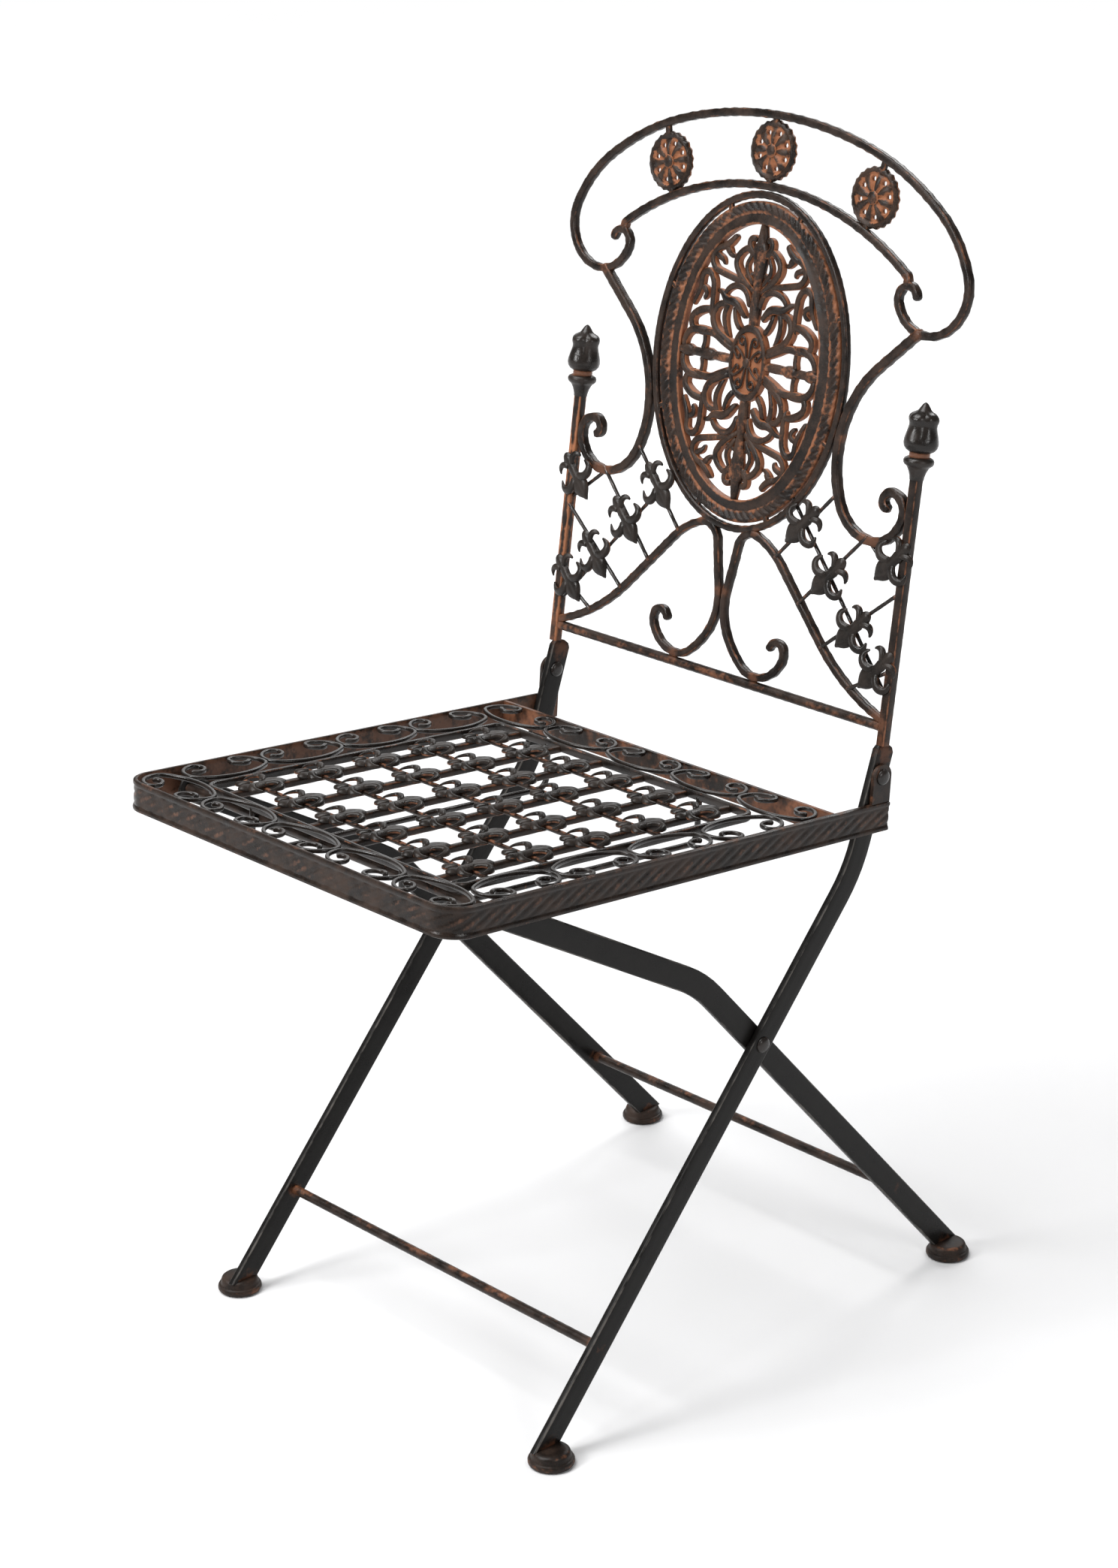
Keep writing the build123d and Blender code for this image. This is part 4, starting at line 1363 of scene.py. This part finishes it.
    def build(self, dresser: Dresser) -> None:
        """Builds and dresses the casting.

        Args:
            dresser: What paints and places it.
        """
        place = BACK @ shift(0, self.centre, 0)
        band = self.rope().join(self.lugs())
        for shape, name, node, finish in ((band, "oval_rope_band", "oval_cast_frame", OVAL),
                                          (self.openwork(), "oval_openwork", "oval_filigree", CAST),
                                          (self.middle(), "oval_middle_boss", "oval_boss", CAST)):
            dresser.put(shape, name, node, finish, place, slot=Slot.CAST)


@dataclass
class Medallions:
    """Three pierced rosettes between the crest rail and the arch."""

    radius: float = 24.0
    beads: int = 22
    petals: int = 8
    petal_reach: float = 18.0
    rim: float = 21.3
    hole: float = 2.1
    hole_circle: float = 14.5
    reach: float = 29.0
    places: tuple[tuple[str, float, float, float], ...] = (
        ("centre", 0.0, 420.5, 0.0), ("right", 109.9, 398.5, -13.0), ("left", -109.9, 398.5, 13.0))

    def ray(self, x: float, y: float) -> float:
        """How near a place lies to the middle line of a petal, from 0 to 1."""
        return abs(cos(self.petals / 2 * atan2(y, x))) ** 1.5

    def swell(self, x: float, y: float) -> float:
        """Gives the height of the petals and of the beaded rim.

        Args:
            x: Place across.
            y: Place up.

        Returns:
            Height above the plain plate.
        """
        gap, reach = hypot(x, y), self.petal_reach
        bead = 1.2 * max(0.0, 1 - abs(gap - self.rim) / 2.2)
        petal = 2.0 * self.ray(x, y) * sin(pi * min(gap, reach) / reach)
        return bead + petal - 0.9 * max(0.0, 1 - abs(gap - reach) / 1.5)

    def valleys(self, x: float, y: float) -> float:
        """The rub between the petals."""
        return 0.0 if hypot(x, y) > 19.4 else 1.0 - self.ray(x, y)

    @staticmethod
    def lobes(angle: float, height: float) -> float:
        """The share of the radius round the bud in the middle."""
        return 1 + 0.09 * cos(8 * angle)

    def rosette(self) -> Shape:
        """Forms one rosette with its studs.

        Returns:
            The rosette, about its own middle.
        """
        rim = []
        for index in range(self.beads * 4):
            angle = 2 * pi * index / (self.beads * 4)
            reach = self.radius - 1.3 * (0.5 - 0.5 * cos(self.beads * angle))
            rim.append((reach * cos(angle), reach * sin(angle)))
        holes = []
        for index in range(self.petals):
            mid = 2 * pi * (index + 0.5) / self.petals
            x, y = self.hole_circle * cos(mid), self.hole_circle * sin(mid)
            steps = [2 * pi * step / 8 for step in range(8)]
            holes.append([(x + self.hole * cos(a), y + self.hole * sin(a)) for a in steps])
        plate = Shape().relief(rim, 2.2, 1.0, 1.8, 1.0, holes, self.swell, self.valleys)
        made = plate.moved(shift(0, 0, -2))
        bud = [(5.4, -2.6, 0.5), (5.4, 2.6, 0.8), (4.6, 3.4, 0.3), (2.8, 4.0, 0.1), (1, 4.2, 0.1)]
        made.turned(bud, 20, self.lobes)
        for way in (1, -1):
            path = Path([Vector((0, way * y, 0)) for y in (21, 23, 25, 27, self.reach)])
            made.sweep(path, Section.eased(5.0, 4.2, 1.2, worn=0.3))
        return made

    def build(self, dresser: Dresser) -> None:
        """Builds and dresses the rosettes.

        Args:
            dresser: What paints and places them.
        """
        shape = self.rosette()
        for name, x, y, tilt in self.places:
            place = BACK @ shift(x, y, 0) @ turn(tilt)
            dresser.put(shape, f"{name}_rosette", f"{name}_medallion", CAST, place, slot=Slot.CAST)


@dataclass
class Posts:
    """Back posts with their bud finials, and the rail between them."""

    x: float = 185.5
    size: float = 8.0
    ease: float = 1.3
    bottom: float = -12.0
    top: float = 203.0
    rail_height: float = 2.0
    rail_diameter: float = 8.0
    marks: float = 0.12

    def post(self) -> Shape:
        """The right post."""
        path = Path.line((self.x, self.bottom), (self.x, self.top))
        section = Section.eased(self.size, self.size, self.ease, 2)
        return Shape().sweep(path, section, ripple=self.marks, pitch=11.0, mitres=(ALONG_Y, ALONG_Y))

    @staticmethod
    def petals(angle: float, height: float) -> float:
        """Parts the bud's petals.

        Args:
            angle: Angle round the bud.
            height: Height on the finial.

        Returns:
            Share of the radius: full on the petals, less in the clefts between them.
        """
        if not 15 < height < 45:
            return 1.0
        opened = min(max((height - 24) / 16, 0), 1)
        cleft = max(0.0, 1 - abs(sin(2 * angle + pi / 2)) / (0.3 + 0.4 * opened))
        return 1.03 + 0.025 * cos(4 * angle) - 0.14 * opened * cleft

    def finial(self) -> Shape:
        """Turns the right finial: a flared socket, a collar and a bud whose petals curl out at the top.

        Returns:
            The finial, on its post.
        """
        profile = [(5.5, -7, 0.5), (5.8, -4.5, 0.5), (6.8, -1, 0.5), (8.2, 2, 0.6), (9.2, 3.4, 0.6),
                   (10.8, 4.4, 0.4), (11.8, 6, 0.3), (11.9, 7.8, 0.4), (11.1, 9.4, 0.6), (9.2, 10.5, 0.9),
                   (7.9, 11, 1.5), (8.1, 12.2, 1.6), (7.9, 13.6, 1.6), (8.8, 14.4, 1.1), (11, 15.8, 0.5),
                   (12.8, 18.2, 0.2), (13.4, 21, 0.1), (13.1, 24, 0.1), (12.3, 27.5, 0.1), (11.4, 31, 0.1),
                   (10.8, 34, 0.2), (11, 36, 0.3), (11.8, 38.2, 0.3), (12, 40, 0.3), (11.4, 41.8, 0.3),
                   (9.9, 43.4, 0.4), (7.8, 44.6, 0.5), (6, 45.6, 0.5), (4.8, 46.8, 0.3), (3.6, 48.8, 0.2),
                   (2.1, 51, 0.2), (0.5, 52.2, 0.2)]
        return Shape().turned(profile, 64, self.petals).moved(shift(self.x, self.top, 0) @ turn(-90, "X"))

    def rail(self) -> Shape:
        """Forms the rail at the foot of the back.

        Returns:
            The rail.
        """
        face = self.x - self.size / 2
        path = Path.line((-face, self.rail_height), (face, self.rail_height))
        section = Section.round(self.rail_diameter)
        return Shape().sweep(path, section, ripple=self.marks, mitres=(ALONG_X, ALONG_X))

    def build(self, dresser: Dresser) -> None:
        """Builds and dresses the posts.

        Args:
            dresser: What paints and places them.
        """
        face = self.x - self.size / 2
        welds = [(self.x, -12, 0, 14), (face, 6, 0, 16), (face, 165, 0, 8), (face, 112, 0, 8),
                 (face, 40, 0, 9)]
        for side, flip, finish in (("right", HERE, POST), ("left", FLIP, WORN_POST)):
            dresser.put(self.post(), f"{side}_post_bar", f"{side}_post", finish, BACK @ flip, welds=welds)
        dresser.put(self.finial().moved(HERE, FLIP), "post_buds", "post_finials", BUD, slot=Slot.CAST)
        dresser.put(self.rail(), "back_rail_bar", "back_bottom_rail", BAR,
                    welds=weld_pair(face, 2, 12) + weld_pair(46, 4, 9))


@dataclass
class BackFleurs:
    """Crossed rods beside the oval, and the fleurs on them."""

    rod: float = 3.2
    level: float = 4.2
    tilt: float = -43.0
    places: tuple[Flat, ...] = ((80, 140), (113, 105.5), (144.5, 70), (172.5, 44), (175.5, 130))
    ties: tuple[tuple[Flat, Flat], ...] = (((54, 109), (108, 168)), ((84, 78), (146, 144)),
                                           ((112.5, 49), (182.5, 105.4)), ((145.3, 23.6), (182.5, 44.9)))
    chains: tuple[tuple[Flat, Flat], ...] = (((58, 164), (182.5, 25.5)), ((142, 144), (182.5, 112)))

    def rods(self) -> Shape:
        """Bends the rods of the right side, with a little wave in them.

        Returns:
            The rods, the chains behind the ties.
        """
        made, section = Shape(), Section.round(self.rod, 10)
        for lines, drop in ((self.ties, 1.5), (self.chains, 4.5)):
            for start, end in lines:
                run = Shape().sweep(Path.line(start, end), section, ripple=0.08, pitch=14.0)
                made.join(run, shift(0, 0, self.level - drop))
        return made

    def build(self, dresser: Dresser) -> None:
        """Builds and dresses the fleurs.

        Args:
            dresser: What paints and places them.
        """
        places = [shift(x, y, self.level) @ turn(self.tilt) for x, y in self.places]
        fleurs, rods = Fleur().shape().moved(*places), self.rods()
        welds = [(*end, self.level - 2, 6) for line in (*self.ties, *self.chains) for end in line]
        for side, flip in SIDES:
            place = BACK @ flip
            dresser.put(fleurs, f"{side}_fleurs", f"{side}_back_fleurs", FLEUR, place, slot=Slot.CAST)
            dresser.put(rods, f"{side}_lattice_rods", f"{side}_back_lattice", WIRE, place, welds=welds)


@dataclass
class Legs:
    """Crossed legs with their feet, stretchers and rivets, drawn in the YZ plane."""

    width: float = 20.0
    thickness: float = 6.0
    ease: float = 1.5
    bend_radius: float = 120.0
    front_x: float = 183.5
    rear_x: float = 177.0
    pivot: Flat = (PIVOT_Y, PIVOT_Z)
    crossing: Flat = (35.758, 269.0)
    front_foot: Flat = (-195.5, 12.0)
    rear_foot: Flat = (263.5, 12.0)
    foot_sink: float = 1.2
    front_lean: float = 20.0
    front_tail: float = 19.9
    rear_bend: float = 89.0
    rod: Flat = (-229.0, 455.98)
    rear_tail: float = 1.0
    foot_splay: float = 6.0
    stretcher: float = 8.0
    front_tie: float = 74.0
    rear_tie: float = 85.0

    def bar(self, foot: Vector, bend: Vector, end: Vector) -> Shape:
        """Bends a flat bar of two runs with an arc between.

        Args:
            foot: Where it begins, cut level with the floor.
            bend: Where its runs would meet.
            end: Where it ends.

        Returns:
            The bar, flat in the XY plane.
        """
        before, after = (bend - foot).normalized(), (end - bend).normalized()
        reach = self.bend_radius * tan(before.angle(after) / 2)
        start = foot - before * self.foot_sink
        points = [start, bend - before * reach, bend + after * reach, end]
        path = Path.arcs([(p.x, p.y) for p in points], degrees(atan2(before.y, before.x)), 5, 12)
        # The eased edges are marked rubbed; with the legs' pale grey rub colour they carry a painted
        # highlight.
        section = Section.eased(self.width, self.thickness, self.ease, 3)
        return Shape().sweep(path, section, mitres=(ALONG_Y, None), tip=0.6)

    def front(self) -> Shape:
        """Bends the right front leg, up to the pivot of the seat.

        Returns:
            The leg.
        """
        foot, cross, pivot = (Vector((*p, 0)) for p in (self.front_foot, self.crossing, self.pivot))
        rise = (cross - foot).normalized()
        up = Vector((sin(radians(self.front_lean)), cos(radians(self.front_lean)), 0))
        across = pivot - cross
        bend = cross + rise * (across.x * up.y - across.y * up.x) / (rise.x * up.y - rise.y * up.x)
        return self.bar(foot, bend, pivot + up * self.front_tail)

    def rear(self) -> Shape:
        """Bends the right rear leg, up to the slide rod.

        Returns:
            The leg.
        """
        foot, cross, rod = (Vector((*p, 0)) for p in (self.rear_foot, self.crossing, self.rod))
        bend = cross + (cross - foot).normalized() * self.rear_bend
        return self.bar(foot, bend, rod + (rod - bend).normalized() * self.rear_tail)

    def along(self, foot: Flat, height: float) -> Flat:
        """The place on a leg's lower run at a height."""
        share = (height - foot[1]) / (self.crossing[1] - foot[1])
        return (foot[0] + share * (self.crossing[0] - foot[0]), height)

    @staticmethod
    def foot() -> Shape:
        """A cup foot with a rolled rim."""
        return Shape().turned([(15.5, 0, 0.2), (17.2, 0.5, 0.5), (18, 1.8, 0.9), (18, 3.8, 0.9),
                               (17.2, 5.2, 0.7), (16.0, 5.7, 0.4), (15.5, 6.6, 0.4), (15.3, 8.8, 0.5),
                               (14.6, 10.6, 0.8), (13.2, 11.7, 0.8), (10, 12, 0.3)], 40)

    @staticmethod
    def rivet(low: float, high: float) -> Shape:
        """Forms a rivet with a domed head at each end.

        Args:
            low: Where its shank begins.
            high: Where its shank ends.

        Returns:
            The rivet, along Z.
        """
        dome = [(6.5, 0.0, 0.4), (6.4, 0.8, 0.8), (5.6, 1.8, 0.5), (4.0, 2.6, 0.3), (1.8, 3.0, 0.2)]
        made = Shape().turned([(4.0, low, 0.0), (4.0, high, 0.0)], 20)
        return made.join(Shape().turned(dome, 24), shift(0, 0, high), shift(0, 0, low) @ turn(180, "X"))

    def build(self, dresser: Dresser) -> None:
        """Builds and dresses the legs and what is on them.

        Args:
            dresser: What paints and places them.
        """
        hinge = (self.pivot[0] + 6, self.pivot[1] + 16, 0, 17)
        for end, shape, x, body, foot, height in (
                ("front", self.front(), self.front_x, Body.FRAME, self.front_foot, self.front_tie),
                ("rear", self.rear(), self.rear_x, Body.REAR, self.rear_foot, self.rear_tie)):
            tie = self.along(foot, height)
            welds = [(*tie, -3, 13), (foot[0], 12, 0, 16), hinge]
            place = shift(x, 0, 0) @ SIDE
            dresser.pair(shape, f"{end}_leg_bar", f"{end}_leg", LEG, place, body=body, welds=welds)
            reach = x - self.thickness / 2
            rod = Shape().sweep(Path.line((-reach, 0), (reach, 0)), Section.round(self.stretcher), ripple=0.1,
                                mitres=(ALONG_X, ALONG_X))
            dresser.put(rod, f"{end}_stretcher_bar", f"{end}_stretcher", BAR, shift(0, *tie), body,
                        welds=weld_pair(reach, 0, 14))
            feet = self.foot().moved(shift(x + self.foot_splay, foot[0], 0)).moved(HERE, FLIP)
            dresser.put(feet, f"{end}_cup_feet", f"{end}_feet", FOOT, HERE, body)
        for name, at, low, high, body in (("crossing", self.crossing, 173.8, 186.7, Body.FRAME),
                                          ("lug", self.pivot, 180.3, 190.2, Body.SEAT)):
            pins = self.rivet(low, high).moved(shift(0, *at) @ turn(90, "Y")).moved(HERE, FLIP)
            dresser.put(pins, f"{name}_pins", f"{name}_rivets", WIRE, HERE, body, Slot.RIVET)


@dataclass
class Seat:
    """Seat: roped apron, scrolled border, crossed bars with fleurs, and the guides under it."""

    half_width: float = 190.0
    top: float = -21.0
    front: float = -444.0
    rear_end: float = 10.0
    apron_height: float = 24.0
    apron_thickness: float = 3.0
    apron_ease: float = 0.6
    corner: float = 22.0
    border: float = 40.0
    rail_front: float = -53.0
    rope_pitch: float = 14.0
    rope_slope: float = 30.0
    rope_half: float = 7.2
    bead_level: float = 9.9
    bead_half: float = 1.9
    wire: float = 3.1
    wire_ease: float = 0.9
    scroll_drop: float = 1.7
    scroll_margin: float = 3.0
    scrolls_across: int = 5
    scrolls_along: int = 4
    inner_bar: Flat = (4.2, 7.0)
    inner_corner: float = 12.0
    inner_drop: float = 5.0
    grid_bar: Flat = (5.6, 6.0)
    grid_rod: float = 3.8
    grid_gap: float = 3.0
    guide_x: float = 86.5
    guide: float = 5.0
    guide_low: float = -64.0
    guide_bend: float = 9.0
    fleur_level: float = -24.0
    columns: int = 6
    column_pitch: float = 48.0
    rows: int = 5
    row_pitch: float = 58.0

    def apron(self) -> Shape:
        """Forms the apron: a bead along each edge of its outer face and rope strokes between.

        Returns:
            The apron, round both sides and the front.
        """
        mid, half = self.apron_thickness / 2, self.apron_height / 2
        x, y, radius = self.half_width - mid, self.front + mid, self.corner - mid
        right = [(x - radius, y), (x, y + radius), (x, self.rear_end)]
        path = Path.arcs([*[(-a, b) for a, b in reversed(right)], *right], -90, 6, 2.0)
        heights = [half * step / 13 for step in range(-12, 13)]
        inner = [(-mid, above) for above in reversed(heights[::4])]
        face = mid - self.apron_ease
        places = [(face, -half), *[(mid, above) for above in heights], (face, half), (-face, half), *inner,
                  (-face, -half)]
        outer_rubs = [0.8 if abs(above) > 10 else 0.3 for above in heights]
        section = Section(places, [0.9, *outer_rubs, 0.9, 1.0, *[1.25] * len(inner), 1.0])
        lean = 1 / tan(radians(self.rope_slope))

        def strokes(length: float, aside: float, above: float) -> float:
            """Gives how far the outer face stands out.

            Args:
                length: Length along the apron.
                aside: Place across its thickness.
                above: Place up its height.

            Returns:
                Height above the plain strip.
            """
            if aside < mid:
                return 0.0
            bead = max(0.0, 1 - ((abs(above) - self.bead_level) / self.bead_half) ** 2)
            wave = abs(sin(pi * (length - lean * above) / self.rope_pitch)) ** 0.5
            rope = max(0.0, 1 - (above / self.rope_half) ** 2) ** 0.5
            return sqrt(bead) + (1.1 * wave - 0.7) * rope
        made = Shape().sweep(path, section, push=strokes, mitres=(ALONG_Y, ALONG_Y))
        # The stroke ridges are marked rubbed and the grooves are not. The copper on the ridges is partly wear
        # and partly a painted highlight, and the dark grooves are painted shade, so the strokes show where
        # the lamps light the face flat.
        for index, point in enumerate(made.points):
            past = hypot(max(abs(point.x) - self.half_width + self.corner, 0),
                         max(self.front + self.corner - point.y, 0)) - self.corner
            if past > -1.2 and abs(point.z) < self.rope_half:
                made.rubs[index] = 0.56 + 1.15 * past
        return made.moved(shift(0, 0, self.top - half))

    def inner_frame(self, half: float, front: float, back: float) -> Shape:
        """Bends the frame round the crossed bars.

        Args:
            half: Half its width, to its outside.
            front: Its front.
            back: Its back.

        Returns:
            The frame.
        """
        x, y0, y1, r = half - 2, front + 2, back - 2, self.inner_corner - 2
        middle = (y0 + y1) / 2
        corners = [(x, middle), (x, y1 - r), (x - r, y1), (r - x, y1), (-x, y1 - r), (-x, y0 + r),
                   (r - x, y0), (x - r, y0), (x, y0 + r), (x, middle)]
        loop = Path(Path.arcs(corners, 90, 15, 9).points[:-1], True)
        made = Shape().sweep(loop, Section.eased(*self.inner_bar, 1.5), ripple=0.12, pitch=13.0)
        return made.moved(shift(0, 0, self.top - self.inner_drop))

    def grid(self, half: float, front: float, back: float) -> tuple[Shape, Shape]:
        """Forms the bars from front to back and the thin rods from side to side.

        Args:
            half: Half the length of the rods.
            front: Where the bars begin.
            back: Where the bars end.

        Returns:
            The bars and the rods.
        """
        bars, rods = Shape(), Shape()
        for x in spread(self.columns, self.column_pitch):
            bars.sweep(Path.line((x, front), (x, back), 8.0), Section.eased(*self.grid_bar, 1.9), ripple=0.15,
                       pitch=17.0, mitres=(ALONG_Y, ALONG_Y))
        for y in spread(self.rows, self.row_pitch):
            level = y + (front + back) / 2
            rods.sweep(Path.line((-half, level), (half, level), 8.0), Section.round(self.grid_rod, 10),
                       ripple=0.1, pitch=17.0, mitres=(ALONG_X, ALONG_X))
        bars = bars.moved(shift(0, 0, self.fleur_level - self.grid_bar[1] / 2))
        return bars, rods.moved(shift(0, 0, self.fleur_level - 2.6))

    def guide_rod(self, front: float, back: float) -> Shape:
        """Bends the right guide rod, up at both ends to the inner frame.

        Args:
            front: Front of the inner frame.
            back: Back of the inner frame.

        Returns:
            The rod.
        """
        low, top, bend = self.guide_low, self.top - 6, self.guide_bend
        front, back = front + 2, back - 2
        path = Path.arcs([(front, top), (front, low + bend), (front + bend, low), (back - bend, low),
                          (back, low + bend), (back, top)], -90, 12, 8)
        made = Shape().sweep(path, Section.round(self.guide, 12), ripple=0.08)
        return made.moved(shift(self.guide_x, 0, 0) @ SIDE)

    @staticmethod
    def thick_ends(share: float) -> float:
        """The size of a scroll's strip, a little more at its ends."""
        return 1 + 0.25 * max(0.0, 1 - min(share, 1 - share) / 0.05)

    def c_scroll(self, length: float) -> Shape:
        """Bends an oval C-scroll along X, with its back at +Y and both ends curled in.

        Args:
            length: Its length.

        Returns:
            The scroll, about its own middle.
        """
        high = self.border / 2 - 0.3 - self.wire / 2
        wide = length / 2 - 0.15 - self.wire / 2
        shares = [(0, 1), (0.5, 0.85), (0.85, 0.53), (1, 0), (0.9, -0.6), (0.6, -1), (0.37, -0.6),
                  (0.52, -0.2), (0.74, -0.3)]
        half = Path.arcs([(wide * out, high * up) for out, up in shares], 0, 12, 5)
        section = Section.eased(self.wire, self.wire, self.wire_ease, worn=0.6)
        return Shape().sweep(half.mirrored(), section, self.thick_ends, tip=0.9)

    def build(self, dresser: Dresser) -> None:
        """Builds and dresses the seat.

        Args:
            dresser: What paints and places it.
        """
        inside = self.half_width - self.apron_thickness
        front = self.front + self.apron_thickness + self.border
        back = self.rail_front - self.border
        half, middle = inside - self.border, (front + back) / 2
        iron = {"place": SEAT, "body": Body.SEAT}
        dresser.put(self.apron(), "seat_rope_apron", "seat_apron", APRON, **iron)
        low = self.top - self.scroll_drop
        across = 2 * (inside - self.scroll_margin) / self.scrolls_across
        for end, y, way in (("front", front - self.border / 2, 0), ("rear", back + self.border / 2, 180)):
            places = [shift(x, y, low) @ turn(way) for x in spread(self.scrolls_across, across)]
            row = self.c_scroll(across).moved(*places)
            dresser.put(row, f"{end}_border_curls", f"{end}_border_scrolls", WIRE, **iron)
        along = (back - front) / self.scrolls_along
        places = [shift(inside - self.border / 2, middle + y, low) @ turn(90)
                  for y in spread(self.scrolls_along, along)]
        dresser.pair(self.c_scroll(along).moved(*places), "border_curls", "border_scrolls", WIRE, **iron)
        fleur = Fleur(grid=2.2, petal=5.6, bow=1.8, arch=2.0).shape()
        for number, y in enumerate(spread(self.rows, self.row_pitch), start=1):
            places = [shift(x, middle + y, self.fleur_level) @ turn(180)
                      for x in spread(self.columns, self.column_pitch)]
            dresser.put(fleur.moved(*places), f"seat_fleur_line_{number}", f"seat_fleurs_row_{number}", FLEUR,
                        slot=Slot.CAST, **iron)
        dresser.put(self.inner_frame(half, front, back), "seat_inner_bar", "seat_inner_frame", WIRE, **iron)
        dresser.pair(self.guide_rod(front, back), "guide_bar", "guide_rod", WIRE, **iron)
        gap = self.grid_gap
        bars, rods = self.grid(half - gap, front + gap, back - gap)
        dresser.put(bars, "seat_grid_bars", "seat_long_bars", BAR, **iron)
        dresser.put(rods, "seat_grid_rods", "seat_cross_bars", POST, **iron)
        for node, finish in (("slide_rod", BARE), ("seat_rear_rail", RAIL), ("seat_lugs", LUG)):
            dresser.keep(node, finish)


def main() -> None:
    """Builds the chair's pieces in order."""
    logging.basicConfig(level=logging.INFO, format="%(message)s")
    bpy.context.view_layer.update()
    Studio().build()
    dresser = Dresser(Effects())
    for group in (BackScrolls(), CastOval(), Medallions(), Posts(), BackFleurs(), Legs(), Seat()):
        group.build(dresser)


if __name__ == "__main__":
    main()
